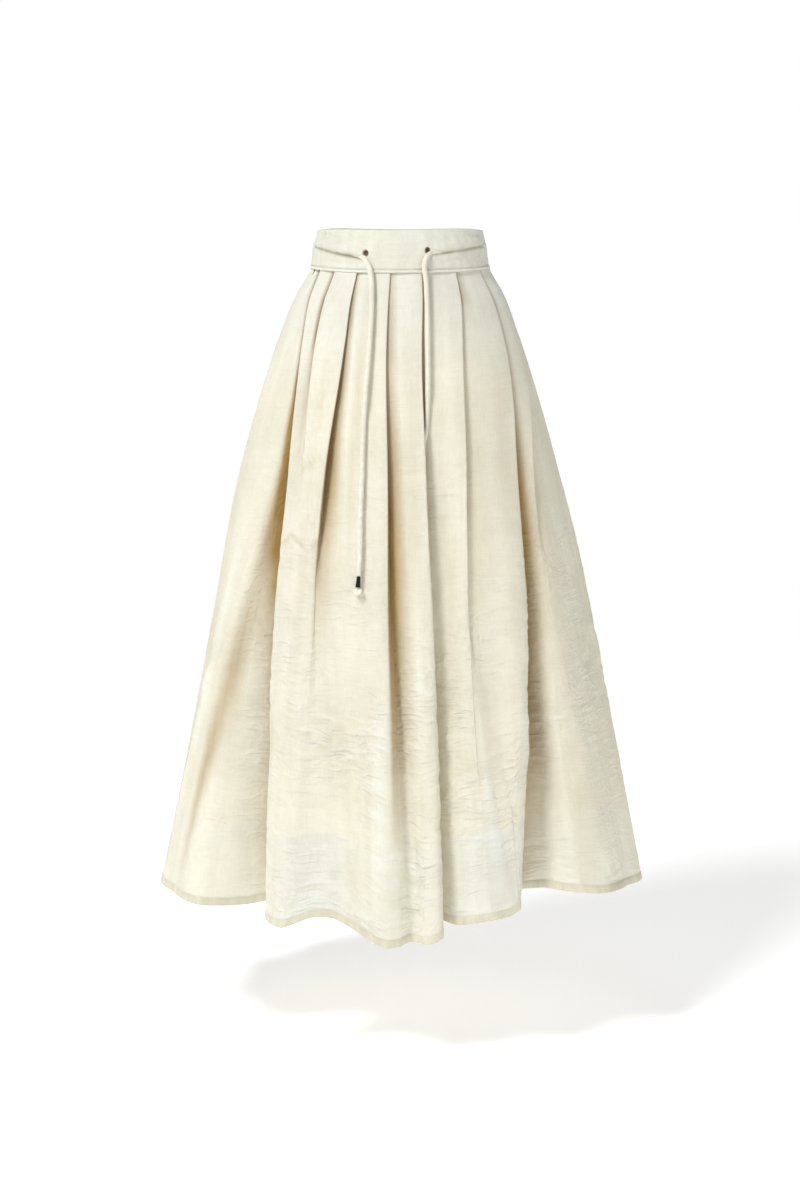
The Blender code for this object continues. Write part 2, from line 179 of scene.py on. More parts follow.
# Linen: threads and slubs both ways on the cloth's own plan, soft patches, a little light through it
linen = {
    "tone": (0.87, 0.855, 0.735, 1),
    "bandTone": (0.71, 0.705, 0.605, 1),
    "liningTone": (0.80, 0.75, 0.62, 1),
    "cordTone": (0.72, 0.70, 0.585, 1),
    "knotTone": (0.86, 0.84, 0.75, 1),
    "threadTone": (0.88, 0.86, 0.78, 1),
    "threads": 1500.0,
    "threadRun": 70.0,
    "slubs": 520.0,
    "slubRun": 22.0,
    "patches": 9.0,
    "streaks": (60.0, 4.0, 1.0),
    "creaseHeight": 0.0024,
    # Painted highlight along the little creases' ridges: its strength and its colour
    "creaseHighlight": 0.9,
    "creaseHighlightTone": (0.94, 0.935, 0.86, 1),
    "ridges": (  # grains a metre each way, sharpness and share of each kind of little crease
        ((17.0, 60.0, 1.0), 4.0, 0.5), ((30.0, 110.0, 1.0), 3.0, 0.35),
        ((42.0, 36.0, 1.0), 5.0, 0.30), ((60.0, 14.0, 1.0), 6.0, 0.22),
    ),
    "ridgeBend": (14.0, 0.035),
    "ridgePatches": (11.0, 9.0, 1.0),
    "ridgesLower": (0.10, 0.55, 0.15, 1.0),
    "ridgesAside": (0.12, 0.28, 1.0, 0.40),
    "slubTone": (0.55, 0.49, 0.36, 1),
    "slubShare": 0.10,
    "paler": 1.05,
    "darker": (0.955, 0.945, 0.92),
    "weaveShade": (0.93, 1.04),
    "streakShade": (0.955, 1.02),
    "rough": 0.86,
    "sheen": 0.15,
    "throughPanel": 0.22,
    "throughBand": 0.08,
    "throughLining": 0.15,
}


# Sharp little creases, mostly across the cloth and in patches, more of them in its lower half; they bump the
# cloth and carry a painted highlight along their ridges
def crumpled(tree, plan, place):
    grains, far = linen["ridgeBend"]
    bent = addNode(tree, "ShaderNodeTexNoise", Vector=plan, Scale=grains, Detail=1.0)
    shift = addNode(tree, "ShaderNodeVectorMath", {"operation": "SCALE"}, i0=bent.outputs[1], Scale=far)
    moved = addNode(tree, "ShaderNodeVectorMath", i0=plan, i1=shift.outputs[0]).outputs[0]
    ridges = 0.0
    for stretch, sharp, part in linen["ridges"]:
        grain = stretchedNoise(tree, moved, stretch, 1.0)
        away = maths(tree, "ABSOLUTE", maths(tree, "SUBTRACT", grain, 0.5))
        line = maths(tree, "POWER", spread(tree, away, 0.0, 0.22, 1.0, 0.0), sharp)
        ridges = maths(tree, "ADD", ridges, product(tree, line, part))
    patch = spread(tree, stretchedNoise(tree, plan, linen["ridgePatches"], 2.0), 0.36, 0.64, 0.30, 1.0)
    down = addNode(tree, "ShaderNodeSeparateXYZ", i0=plan).outputs[1]
    lower = spread(tree, down, *linen["ridgesLower"])
    aside = maths(tree, "ABSOLUTE", addNode(tree, "ShaderNodeSeparateXYZ", i0=place).outputs[0])
    ridges = product(tree, ridges, spread(tree, aside, *linen["ridgesAside"]))
    return product(tree, ridges, product(tree, patch, lower))


def clothPaint(name, tone, through, tinted=True):
    paint, tree, shader = newMaterial(name)
    plan = addNode(tree, "ShaderNodeUVMap", {"uv_map": "clothPlan"}).outputs[0]
    place = ownPlace(tree)
    fine, run = linen["threads"], linen["threadRun"]
    warp = stretchedNoise(tree, plan, (fine, run, 1.0), 1.0)
    weft = stretchedNoise(tree, plan, (run, fine, 1.0), 1.0)
    weave = maths(tree, "ADD", product(tree, warp, 0.5), product(tree, weft, 0.5))
    fat, long = linen["slubs"], linen["slubRun"]
    slubDown = spread(tree, stretchedNoise(tree, plan, (fat, long, 1.0), 2.0), 0.55, 0.75)
    slubAcross = spread(tree, stretchedNoise(tree, plan, (long, fat, 2.0), 2.0), 0.57, 0.76)
    slubs = maths(tree, "MAXIMUM", slubDown, slubAcross)
    patch = stretchedNoise(tree, place, (linen["patches"],) * 3, 4.0, 0.6)
    paler = tuple(min(part * linen["paler"], 1) for part in tone[:3]) + (1,)
    darker = tuple(part * warm for part, warm in zip(tone[:3], linen["darker"])) + (1,)
    colour = blended(tree, spread(tree, patch, 0.35, 0.65), darker, paler)
    streaks = stretchedNoise(tree, plan, linen["streaks"], 2.0)
    shade = product(tree, spread(tree, weave, 0.3, 0.7, *linen["weaveShade"]),
                    spread(tree, streaks, 0.34, 0.66, *linen["streakShade"]))
    grey = addNode(tree, "ShaderNodeCombineColor", i0=shade, i1=shade, i2=shade).outputs[0]
    colour = blended(tree, 1.0, colour, grey, "MULTIPLY")
    colour = blended(tree, product(tree, slubs, linen["slubShare"]), colour, linen["slubTone"])
    height = maths(tree, "ADD", product(tree, weave, 0.25), product(tree, slubs, 0.2))
    bumps = addNode(tree, "ShaderNodeBump", Strength=0.55, Distance=0.0006, Height=height)
    ridges = crumpled(tree, plan, place)
    softer = addNode(tree, "ShaderNodeBump", Strength=1.0, Distance=linen["creaseHeight"], Height=ridges,
                     Normal=bumps.outputs[0])
    # Painted highlight: the colour is made paler along the little creases' ridges
    colour = blended(tree, product(tree, ridges, linen["creaseHighlight"]), colour, linen["creaseHighlightTone"])
    if tinted:
        # The mesh's vertex colours: cloth tone with painted shade and light
        tint = addNode(tree, "ShaderNodeVertexColor", {"layer_name": "clothTint"}).outputs[0]
        colour = blended(tree, 1.0, colour, tint, "MULTIPLY")
    tree.links.new(colour, shader.inputs["Base Color"])
    tree.links.new(softer.outputs[0], shader.inputs["Normal"])
    shader.inputs["Roughness"].default_value = linen["rough"]
    shader.inputs["Sheen Weight"].default_value = linen["sheen"]
    shader.inputs["Specular IOR Level"].default_value = 0.25
    if through:
        lit = addNode(tree, "ShaderNodeBsdfTranslucent", Color=colour)
        mixed = addNode(tree, "ShaderNodeMixShader", i0=through, i1=shader.outputs[0], i2=lit.outputs[0])
        tree.links.new(mixed.outputs[0], tree.nodes["Material Output"].inputs["Surface"])
    return paint


def tipPaint():
    paint, tree, shader = newMaterial("blackSleeve")
    place = ownPlace(tree)
    worn = stretchedNoise(tree, place, (900.0, 900.0, 300.0), 3.0)
    tree.links.new(blended(tree, worn, (0.004, 0.004, 0.004, 1), (0.012, 0.012, 0.012, 1)),
                   shader.inputs["Base Color"])
    tree.links.new(spread(tree, worn, 0.3, 0.7, 0.38, 0.55), shader.inputs["Roughness"])
    shader.inputs["Specular IOR Level"].default_value = 0.2
    return paint


# Meshes on a grid of points

def gridMesh(name, points, plan, closed=False, ringed=False, tint=None):
    rows, columns = points.shape[:2]
    index = np.arange(rows * columns).reshape(rows, columns)
    if closed:
        index = np.column_stack([index, index[:, 0]])
    if ringed:
        index = np.vstack([index, index[:1]])
    faces = np.stack([index[:-1, :-1], index[1:, :-1], index[1:, 1:], index[:-1, 1:]], axis=-1).reshape(-1, 4)
    mesh = bpy.data.meshes.new(name)
    mesh.from_pydata(points.reshape(-1, 3).tolist(), [], faces.tolist())
    mesh.uv_layers.new(name="clothPlan").data.foreach_set("uv", plan.reshape(-1, 2)[faces].ravel())
    # Vertex colours carry the tone and any painted shade and light
    if tint is not None:
        colours = np.concatenate([tint.reshape(-1, 3), np.ones((rows * columns, 1))], axis=1)
        layer = mesh.color_attributes.new("clothTint", "FLOAT_COLOR", "POINT")
        layer.data.foreach_set("color", colours.ravel())
    mesh.shade_smooth()
    return inScene(name, mesh)


def gridNormals(points, closed=False):
    down = np.gradient(points, axis=0)
    if closed:
        padded = np.concatenate([points[:, -1:], points, points[:, :1]], axis=1)
        across = (padded[:, 2:] - padded[:, :-2]) / 2
    else:
        across = np.gradient(points, axis=1)
    normal = np.cross(down, across)
    return normal / np.maximum(np.linalg.norm(normal, axis=-1, keepdims=True), 1e-12)


def softNoise(x, y, seed):
    table = np.random.default_rng(seed).uniform(-1, 1, (64, 64))
    column, row = np.floor(x).astype(int), np.floor(y).astype(int)
    u, v = x - column, y - row
    u, v = u * u * (3 - 2 * u), v * v * (3 - 2 * v)
    upper = table[column % 64, row % 64] * (1 - u) + table[(column + 1) % 64, row % 64] * u
    lower = table[column % 64, (row + 1) % 64] * (1 - u) + table[(column + 1) % 64, (row + 1) % 64] * u
    return upper * (1 - v) + lower * v


def eased(low, high, x):
    u = np.clip((x - low) / (high - low), 0, 1)
    return u * u * (3 - 2 * u)


def bell(x):
    return np.exp(-(x**2))


def unit(vectors):
    return vectors / np.linalg.norm(vectors, axis=-1, keepdims=True)


def wrapped(angle):
    return (angle + 180) % 360 - 180


def toned(tint, amount, colour):
    return tint * (1 - amount[..., None] * (1 - np.array(colour)))


def distances(points):
    return np.concatenate([[0], np.cumsum(np.linalg.norm(np.diff(points, axis=0), axis=1))])


def interpolated(places, lengths, points):
    return np.column_stack([np.interp(places, lengths, points[:, axis]) for axis in range(3)])


def resampled(points, step):
    lengths = distances(points)
    places = np.linspace(0, lengths[-1], round(lengths[-1] / step) + 1)
    return interpolated(places, lengths, points), places


def dress(obj, paint, nodes=()):
    obj.data.materials.clear()
    obj.data.materials.append(paint)
    if nodes:
        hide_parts(*nodes)
    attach(obj, "root")


# Tie: a soft cord out of each hole, with a hard black sleeve and a knot below it

tie = {
    "width": 0.0070,
    "sides": 16,
    "ringStep": 0.0015,
    "tipWidth": 0.0056,
    "tipLength": 0.0145,
    "gap": 0.0003,
    "hangsBelow": -0.036,
    "lowest": {"left": -1, "right": -0.185},  # the right end goes on inside a fold
    "nearSide": 0.6,
    "nearUp": 0.005,
    "restsOff": 0.7,
    "easing": 17,
    "knotRadius": 0.0027,
    "knotSizes": {"left": (0.0118, 0.0100, 0.0100), "right": (0.0100, 0.0096, 0.0116)},
    "left": (
        (-0.0613, -0.0717, -0.0035), (-0.0555, -0.0751, -0.0052), (-0.0508, -0.0768, -0.0072),
        (-0.0462, -0.0838, -0.0100), (-0.0420, -0.0899, -0.0162), (-0.0390, -0.0914, -0.0240),
        (-0.0374, -0.0938, -0.0340), (-0.0366, -0.0984, -0.0500), (-0.0371, -0.1104, -0.0830),
        (-0.0388, -0.1173, -0.1070), (-0.0409, -0.1258, -0.1390), (-0.0452, -0.1367, -0.1900),
        (-0.0478, -0.1457, -0.2390), (-0.0493, -0.1546, -0.2870), (-0.0505, -0.1590, -0.3180),
        (-0.0514, -0.1634, -0.3480), (-0.0515, -0.1690, -0.3770), (-0.0523, -0.1736, -0.3960),
        (-0.0535, -0.1782, -0.4135),
    ),
    "right": (
        (0.0543, -0.0740, -0.0005), (0.0462, -0.0779, -0.0015), (0.0405, -0.0800, -0.0032),
        (0.0358, -0.0864, -0.0062), (0.0328, -0.0910, -0.0125), (0.0317, -0.0921, -0.0200),
        (0.0325, -0.0937, -0.0290), (0.0340, -0.0958, -0.0400), (0.0350, -0.0988, -0.0560),
        (0.0356, -0.1046, -0.0756), (0.0358, -0.1150, -0.1113), (0.0362, -0.1240, -0.1470),
        (0.0361, -0.1313, -0.1830), (0.0352, -0.1345, -0.2090), (0.0335, -0.1362, -0.2300),
        (0.0302, -0.1376, -0.2500), (0.0291, -0.1397, -0.2700), (0.0290, -0.1417, -0.2900),
        (0.0293, -0.1446, -0.3200), (0.0300, -0.1482, -0.3600), (0.0312, -0.1523, -0.3950),
        (0.0338, -0.1551, -0.4116),
    ),
}


def smoothRoute(route, step):
    points = np.array(route)
    points = np.vstack([2 * points[0] - points[1], points, 2 * points[-1] - points[-2]])
    u = np.linspace(0, 1, 12, endpoint=False)[:, None]
    fine = []
    for before, start, end, after in zip(points, points[1:], points[2:], points[3:]):
        fine.append(0.5 * (2 * start + (end - before) * u + (2 * before - 5 * start + 4 * end - after) * u**2
                           + (3 * start - before - 3 * end + after) * u**3))
    return resampled(np.vstack([*fine, points[-2]]), step)


# A free end lies on the cloth: where its path would sink in, it moves forward
def laidOn(path, cloth, lowest):
    front = cloth.reshape(-1, 3)
    moved = np.zeros(len(path))
    for index, (x, y, z) in enumerate(path):
        beside = abs(front[:, 0] - x) < tie["width"] * tie["nearSide"]
        near = front[beside & (abs(front[:, 2] - z) < tie["nearUp"])]
        if lowest < z < tie["hangsBelow"] and len(near):
            moved[index] = min(0, near[:, 1].min() - tie["width"] * tie["restsOff"] - y)
    window = np.hanning(tie["easing"])
    window = window / window.sum()
    result = path.copy()
    result[:, 1] += np.convolve(np.pad(moved, tie["easing"] // 2, mode="edge"), window, "valid")
    return result


# Rings of points round a path: radius for each ring and side
def sweptTube(name, path, places, radius, sides, looped=False):
    if looped:
        heading = np.roll(path, -1, axis=0) - np.roll(path, 1, axis=0)
    else:
        heading = np.gradient(path, axis=0)
    heading = unit(heading)
    side = np.cross(heading[0], (0, 1, 0.2))
    frames = []
    for along in heading:
        side = unit(side - along * (side @ along))
        frames.append((side, np.cross(along, side)))
    turns = np.linspace(0, 2 * np.pi, sides, endpoint=False)
    first, second = (np.array([pair[k] for pair in frames])[:, None] for k in (0, 1))
    ring = first * np.cos(turns)[None, :, None] + second * np.sin(turns)[None, :, None]
    points = path[:, None] + ring * radius[:, :, None]
    plan = np.stack(np.meshgrid(turns * tie["width"] / 2, places), axis=-1)
    return gridMesh(name, points[:, ::-1], plan, closed=True, ringed=looped)


def closeEnds(obj, count, sides):
    first = list(range(sides))
    last = list(range((count - 1) * sides, count * sides))
    mesh = obj.data
    bm = bmesh.new()
    bm.from_mesh(mesh)
    bm.verts.ensure_lookup_table()
    bm.faces.new([bm.verts[k] for k in first])
    bm.faces.new([bm.verts[k] for k in reversed(last)])
    bm.to_mesh(mesh)
    bm.free()


def buildKnot(side, start, heading, paint):
    size = np.array(tie["knotSizes"][side])
    turn = np.linspace(0, 2 * np.pi, 90, endpoint=False)
    loop = np.column_stack([np.sin(turn) + 2 * np.sin(2 * turn), -np.sin(3 * turn) * 1.1,
                            np.cos(turn) - 2 * np.cos(2 * turn)])
    loop = loop / np.abs(loop).max(axis=0) * (size / 2 - tie["knotRadius"])
    centre = start + heading * (tie["gap"] + size[2] / 2)
    ripple = 1 + 0.05 * np.sin(turn * 7)[:, None] * np.ones(12)[None]
    knot = sweptTube("knot_" + side, loop + centre, turn * 0.004, tie["knotRadius"] * ripple, 12, looped=True)
    dress(knot, paint, ["tie_knot_" + side])
    return knot


def buildTip(side, start, heading, paint):
    length, width = tie["tipLength"], tie["tipWidth"] / 2
    shares = np.array([0, 0.02, 0.06, 0.12, 0.5, 0.88, 0.95, 0.985, 1.0])
    widths = np.array([0.50, 0.78, 0.86, 0.88, 0.99, 1.09, 1.09, 1.00, 0.60]) * width
    path = start + heading * (tie["gap"] + shares[:, None] * length)
    tip = sweptTube("tip_" + side, path, shares * length, widths[:, None] * np.ones(20)[None], 20)
    closeEnds(tip, len(shares), 20)
    dress(tip, paint, ["tie_tip_" + side])
    return tip, path[-1]


def buildTie(cloth, pale, hard, front):
    for side in ("left", "right"):
        path, places = smoothRoute(tie[side], tie["ringStep"])
        path = laidOn(path, front, tie["lowest"][side])
        turns = np.linspace(0, 2 * np.pi, tie["sides"], endpoint=False)
        across, down = np.meshgrid(turns, places)
        lumps = softNoise(down / 0.011, across * 0.5, 21) * 0.05 + softNoise(down / 0.004, across, 22) * 0.02
        seam = 0.09 * bell((across - 2.2) / 0.25)
        radius = tie["width"] / 2 * (1 + lumps + seam - 0.03)
        cord = sweptTube("cord_" + side, path, places, radius, tie["sides"])
        closeEnds(cord, len(path), tie["sides"])
        dress(cord, cloth, ["tie_" + side])
        heading = unit(path[-1] - path[-2])
        tip, end = buildTip(side, path[-1], heading, hard)
        knot = buildKnot(side, end, heading, pale)
    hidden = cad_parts["tie_in_tunnel"]
    hidden.data.materials.clear()
    hidden.data.materials.append(cloth)
    print("tie ready")


# The worn cloth: the section at each share of its length, and the pleats, as in the CAD model.
# Each pleat: the side its edge faces, its angle at each level, its laps and its depths in mm.

skirt = {
    "length": 0.870,
    "top": -0.0291,
    "steepest": 0.05,
    "mostLean": 0.3,
    "layer": 0.0027,
    "sideSeam": 98.0,
    "shares": (0.00, 0.04, 0.10, 0.20, 0.35, 0.55, 0.78, 1.00),
    "halfWidths": (0.120, 0.140, 0.161, 0.189, 0.2235, 0.2585, 0.296, 0.332),
    "halfDepths": (0.092, 0.104, 0.120, 0.142, 0.168, 0.194, 0.222, 0.245),
    "levels": (0.0, 0.10, 0.30, 0.55, 1.0),
    "lapLevels": (0.0, 0.30, 1.0),
    "depthLevels": (0.0, 0.10, 0.30, 1.0),
    "topDepths": (4.0, 6.0),
    "rounding": (1.8, 3, 6, 13, 22),
    "softness": (0, 0, 0.15, 0.5, 0.85),
    "mostPinch": 0.45,
    "mostRounded": 0.42,
    "hemRises": (
        (-180, 0), (-110, 0), (-65, 12), (-55, 12), (-45, 21), (-38, 32), (-34.5, 33), (-32, 13),
        (-27.5, 7), (-21, 26), (-15.5, 28), (-11.5, 18), (-7.5, 5), (-3.5, -8), (0, -4), (3, -1),
        (7, -6), (9, 0), (11, 24), (14.5, 16), (20, 22), (26, 24), (29.5, 33), (32.5, 50),
        (39, 50), (44, 42), (51, 30), (62, 23), (80, 8), (100, 0), (180, 0),
    ),
    "hemRiseFade": 4,
    "foldEnds": {"c": (0.26, 0.42), "d": (0.30, 0.50), "g": (0.44, 0.66), "i": (0.30, 0.50)},
    "lipPleat": "b",
    "lipGaps": (0, 0, 4, 18, 24),
    "lipDepths": (5.5, 6.5, 4, 2, 0),
    "rows": 236,
    "planShare": 0.65,
    "seamEase": 0.03,
    "tuck": 0.0016,
    "areaShare": 0.8,
    "cornerSteps": 5,
    "foldSteps": 3,
    "panelStep": 0.0052,
    "softenShares": (0, 0.3, 0.55, 1),
    "softenReach": (0.0006, 0.0020, 0.0040, 0.0060),
}
frontPleats = {
    "a": (leftFacing, (-82, -84, -87, -88, -88), (16, 4, -30), (10, 10)),
    "b": (leftFacing, (-62, -53, -44, -41, -33), (12, 12, 6), (34, 75)),
    "c": (leftFacing, (-46, -43.5, -36.5, -34, -29.5), (12, -6, -6), (6, 2)),
    "d": (rightFacing, (-28, -26, -27, -26, -25), (20, 12, -40), (15, 36)),
    "e": (rightFacing, (-6, -6, -4, -3, -1), (20, 9, -16), (13, 18)),
    "f": (rightFacing, (14, 10.5, 9.5, 10, 9.5), (20, 17, 8), (24, 58)),
    "g": (rightFacing, (38, 31, 24.5, 21, 21), (20, 10, -36), (9, 1)),
    "h": (rightFacing, (62, 58.5, 47, 41, 30), (20, 14, 6), (20, 62)),
    "i": (rightFacing, (86, 78, 57, 50, 47), (16, 6, -44), (9, 2)),
}
backPleats = {
    "j": (rightFacing, (110, 112, 114, 116, 118), (20, 8, -20), (14, 30)),
    "k": (rightFacing, (132, 134, 137, 139, 142), (20, 14, 6), (20, 58)),
    "l": (rightFacing, (154, 155, 156, 157, 158), (20, 9, -22), (14, 22)),
    "m": (rightFacing, (175, 175, 174, 173, 171), (20, 14, 8), (20, 55)),
    "n": (leftFacing, (186, 187, 188, 189, 190), (20, 14, 8), (20, 55)),
    "o": (leftFacing, (208, 207, 206, 205, 204), (20, 8, -24), (13, 20)),
    "p": (leftFacing, (230, 228, 225, 223, 221), (20, 14, 6), (20, 60)),
    "q": (leftFacing, (252, 250, 248, 246, 244), (20, 8, -20), (14, 26)),
}


def through(places, values, x):
    places, values = np.asarray(places, float), np.asarray(values, float)
    slopes = np.gradient(values, places)
    k = np.clip(np.searchsorted(places, x) - 1, 0, len(places) - 2)
    span = places[k + 1] - places[k]
    u = (x - places[k]) / span
    start = (2 * u**3 - 3 * u**2 + 1) * values[k] + (u**3 - 2 * u**2 + u) * span * slopes[k]
    end = (3 * u**2 - 2 * u**3) * values[k + 1] + (u**3 - u**2) * span * slopes[k + 1]
    return start + end


def atLevels(values, share):
    return through(skirt["levels"], values, share)


def sizeAt(share):
    return [through(skirt["shares"], skirt[sizes], share) for sizes in ("halfWidths", "halfDepths")]


def arcPerDegree(angle, share):
    width, depth = sizeAt(share)
    turn = np.radians(angle)
    return math.radians(1) * np.hypot(width * np.cos(turn), depth * np.sin(turn))


def onCloth(angle, offset, share):
    turn = np.radians(angle)
    topWidth, topDepth = sizeAt(0.0)
    width, depth = sizeAt(share)
    travel = np.hypot((width - topWidth) * np.sin(turn), (depth - topDepth) * np.cos(turn))
    lean = np.minimum((travel + offset) / np.maximum(share, skirt["steepest"]), skirt["mostLean"])
    drop = np.sqrt(skirt["length"] ** 2 - lean**2)
    rise = np.interp(wrapped(angle), *zip(*skirt["hemRises"])) / 1000 * share ** skirt["hemRiseFade"]
    return np.stack([(width + offset) * np.sin(turn), -(depth + offset) * np.cos(turn),
                     skirt["top"] - drop * share + rise], axis=-1)


def foldCorners(name, pleat, share):
    faces, angles, laps, depths = pleat
    edge = atLevels(angles, share)
    lap = through(skirt["lapLevels"], laps, share) / 1000
    depth = through(skirt["depthLevels"], (*skirt["topDepths"], *depths), share)
    if name in skirt["foldEnds"]:
        depth = depth + (1 - depth) * eased(*skirt["foldEnds"][name], share)
    depth = depth / 1000
    soft = atLevels(skirt["softness"], share)
    softest = skirt["mostPinch"] * depth
    pinch = np.minimum(skirt["layer"] + soft * (softest - skirt["layer"]), softest)
    inner = edge - faces * lap / arcPerDegree(edge, share)
    corners = [(edge, 0 * edge), (edge, -pinch), (inner, pinch - depth), (inner, -depth)]
    if faces == leftFacing:
        corners.reverse()
    if name == skirt["lipPleat"]:
        gap = atLevels(skirt["lipGaps"], share)
        corners.insert(0, (edge - gap, -atLevels(skirt["lipDepths"], share) / 1000))
    return corners


def between(first, second, share):
    return (first[0] + (second[0] - first[0]) * share, first[1] + (second[1] - first[1]) * share)


def panelFolds(pleats, before, after, ends, share):
    folds = [foldCorners(name, pleat, share) for name, pleat in pleats.items()]
    start = between(before, folds[0][0], (ends[0] - before[0]) / (folds[0][0][0] - before[0]))
    last = folds[-1][-1]
    end = between(last, after, (ends[1] - last[0]) / (after[0] - last[0]))
    return [[start], *folds, [end]]


def turnedBy(corner, degrees):
    return (corner[0] + degrees, corner[1])


def frontFolds(share):
    before = turnedBy(foldCorners("q", backPleats["q"], share)[-1], -360)
    after = foldCorners("j", backPleats["j"], share)[0]
    return panelFolds(frontPleats, before, after, (-skirt["sideSeam"], skirt["sideSeam"]), share)


def backFolds(share):
    before = foldCorners("i", frontPleats["i"], share)[-1]
    after = turnedBy(foldCorners("a", frontPleats["a"], share)[0], 360)
    return panelFolds(backPleats, before, after, (skirt["sideSeam"], 360 - skirt["sideSeam"]), share)


# Columns of angles and offsets down the cloth, and the column in the middle of each corner
def sectionColumns(folds, share):
    corners = [corner for fold in folds for corner in fold]
    lastOf = set((np.cumsum([len(fold) for fold in folds]) - 1).tolist())
    rounding = atLevels(skirt["rounding"], share) / 1000
    columns, cornerAt = [corners[0]], [0]
    leftAt = corners[0]
    for k in range(1, len(corners)):
        here = corners[k]
        scale = arcPerDegree(here[0], share)
        entry = here
        if k < len(corners) - 1:
            before, after = corners[k - 1], corners[k + 1]
            toBefore = np.hypot((here[0] - before[0]) * scale, here[1] - before[1])
            toAfter = np.hypot((here[0] - after[0]) * scale, here[1] - after[1])
            entry = between(here, before, np.minimum(rounding / toBefore, skirt["mostRounded"]))
            leave = between(here, after, np.minimum(rounding / toAfter, skirt["mostRounded"]))
        onPanel = k - 1 in lastOf
        steps = skirt["foldSteps"]
        if onPanel:
            wide = np.hypot((entry[0] - leftAt[0]) * scale, entry[1] - leftAt[1])[-1]
            steps = max(3, round(wide / skirt["panelStep"]))
        columns += [between(leftAt, entry, step / (steps + 1)) for step in range(1, steps + 1)]
        cornerAt.append(len(columns) + skirt["cornerSteps"] // 2)
        if k == len(corners) - 1:
            columns.append(here)
            cornerAt[-1] = len(columns) - 1
            break
        for turn in np.linspace(0, 1, skirt["cornerSteps"]):
            columns.append(between(between(entry, here, turn), between(here, leave, turn), turn))
        leftAt = leave
    angles = np.stack([column[0] for column in columns], axis=1)
    offsets = np.stack([column[1] for column in columns], axis=1)
    return angles, offsets, cornerAt


# Each pleat with its corners and its first and last column
def foldSpans(pleats, folds, cornerAt):
    at = 1
    for (name, pleat), fold in zip(pleats.items(), folds[1:-1]):
        yield name, pleat, fold, cornerAt[at], cornerAt[at + len(fold) - 1]
        at += len(fold)


# 1 where the cloth hangs free, less inside and just beside a closed fold
def freedom(spans, lengths, share):
    free = np.ones(lengths.shape)
    for _, pleat, fold, first, last in spans:
        pinch = -(fold[1] if pleat[0] == rightFacing else fold[-2])[1]
        tight = eased(-4, 4, through(skirt["lapLevels"], pleat[2], share)) * (1 - eased(0.003, 0.010, pinch))
        beyond = np.maximum(lengths[:, [first]] - lengths, lengths - lengths[:, [last]])
        free = np.minimum(free, 1 - 0.85 * tight[:, None] * bell(np.maximum(beyond, 0) / 0.007))
    return free


# Creases and soft waves.
# Each crease: from an angle and share to another, its depth in mm (above zero sinks) and its width in mm.

creases = (
    (-31, 0.27, -38, 0.29, -3.0, 7), (-30, 0.285, -36, 0.305, 1.6, 6), (-35.5, 0.39, -30.5, 0.41, 2.4, 6),
    (-30.5, 0.41, -27.5, 0.37, 2.4, 6), (-36, 0.375, -30.5, 0.39, -1.6, 7),
    (-28, 0.385, -26.5, 0.42, 3.0, 5), (-25, 0.41, -19, 0.42, 1.6, 6), (-26, 0.395, -19, 0.39, -1.2, 6),
    (-41, 0.41, -37, 0.39, -1.6, 7), (-41, 0.44, -35, 0.42, 1.4, 7), (-24, 0.32, -14, 0.32, 0.8, 6),
    (-53, 0.47, -59, 0.48, 1.6, 8), (-82, 0.66, -60, 0.56, 2.6, 16), (-80, 0.69, -60, 0.59, -2.2, 16),
    (-64, 0.68, -54, 0.60, 2.0, 11), (-36, 0.63, -24, 0.62, 1.4, 6), (-36, 0.65, -30, 0.62, 1.2, 6),
    (-9, 0.53, -6, 0.52, 1.4, 6), (-57, 0.75, -49, 0.74, 1.8, 6), (-48, 0.74, -42, 0.745, 1.8, 6),
    (-59, 0.80, -52, 0.78, 1.8, 6), (-59, 0.87, -48, 0.84, 1.8, 6), (-46, 0.84, -40, 0.83, 1.4, 6),
    (-40, 0.84, -41, 0.86, 1.4, 6), (-61, 0.95, -60, 0.94, 1.6, 7), (-60, 0.94, -54, 0.92, 1.6, 7),
    (-25, 0.74, -17, 0.74, 1.6, 6), (-17, 0.74, -11, 0.72, 1.6, 6), (-22, 0.78, -11, 0.79, 1.6, 6),
    (-26, 0.82, -18, 0.82, 1.4, 6), (-15, 0.79, -8, 0.82, 1.6, 7), (-6, 0.79, -2, 0.77, 1.6, 6),
    (-5, 0.81, -2, 0.81, 1.4, 6), (-13, 0.88, -8, 0.90, 1.6, 7), (-8, 0.90, 0, 0.92, 1.6, 7),
    (-25, 0.89, -16, 0.87, 1.4, 6), (18, 0.87, 24, 0.88, 1.4, 6), (2, 0.91, 8, 0.92, 1.4, 7),
    (2, 0.95, 7, 0.97, 1.4, 7), (28, 0.71, 34, 0.72, 1.4, 6), (27, 0.88, 31, 0.90, 1.6, 7),
    (36, 0.92, 46, 0.91, 2.0, 8), (46, 0.91, 49, 0.93, 2.0, 8), (51, 0.93, 58, 0.98, 2.0, 10),
)
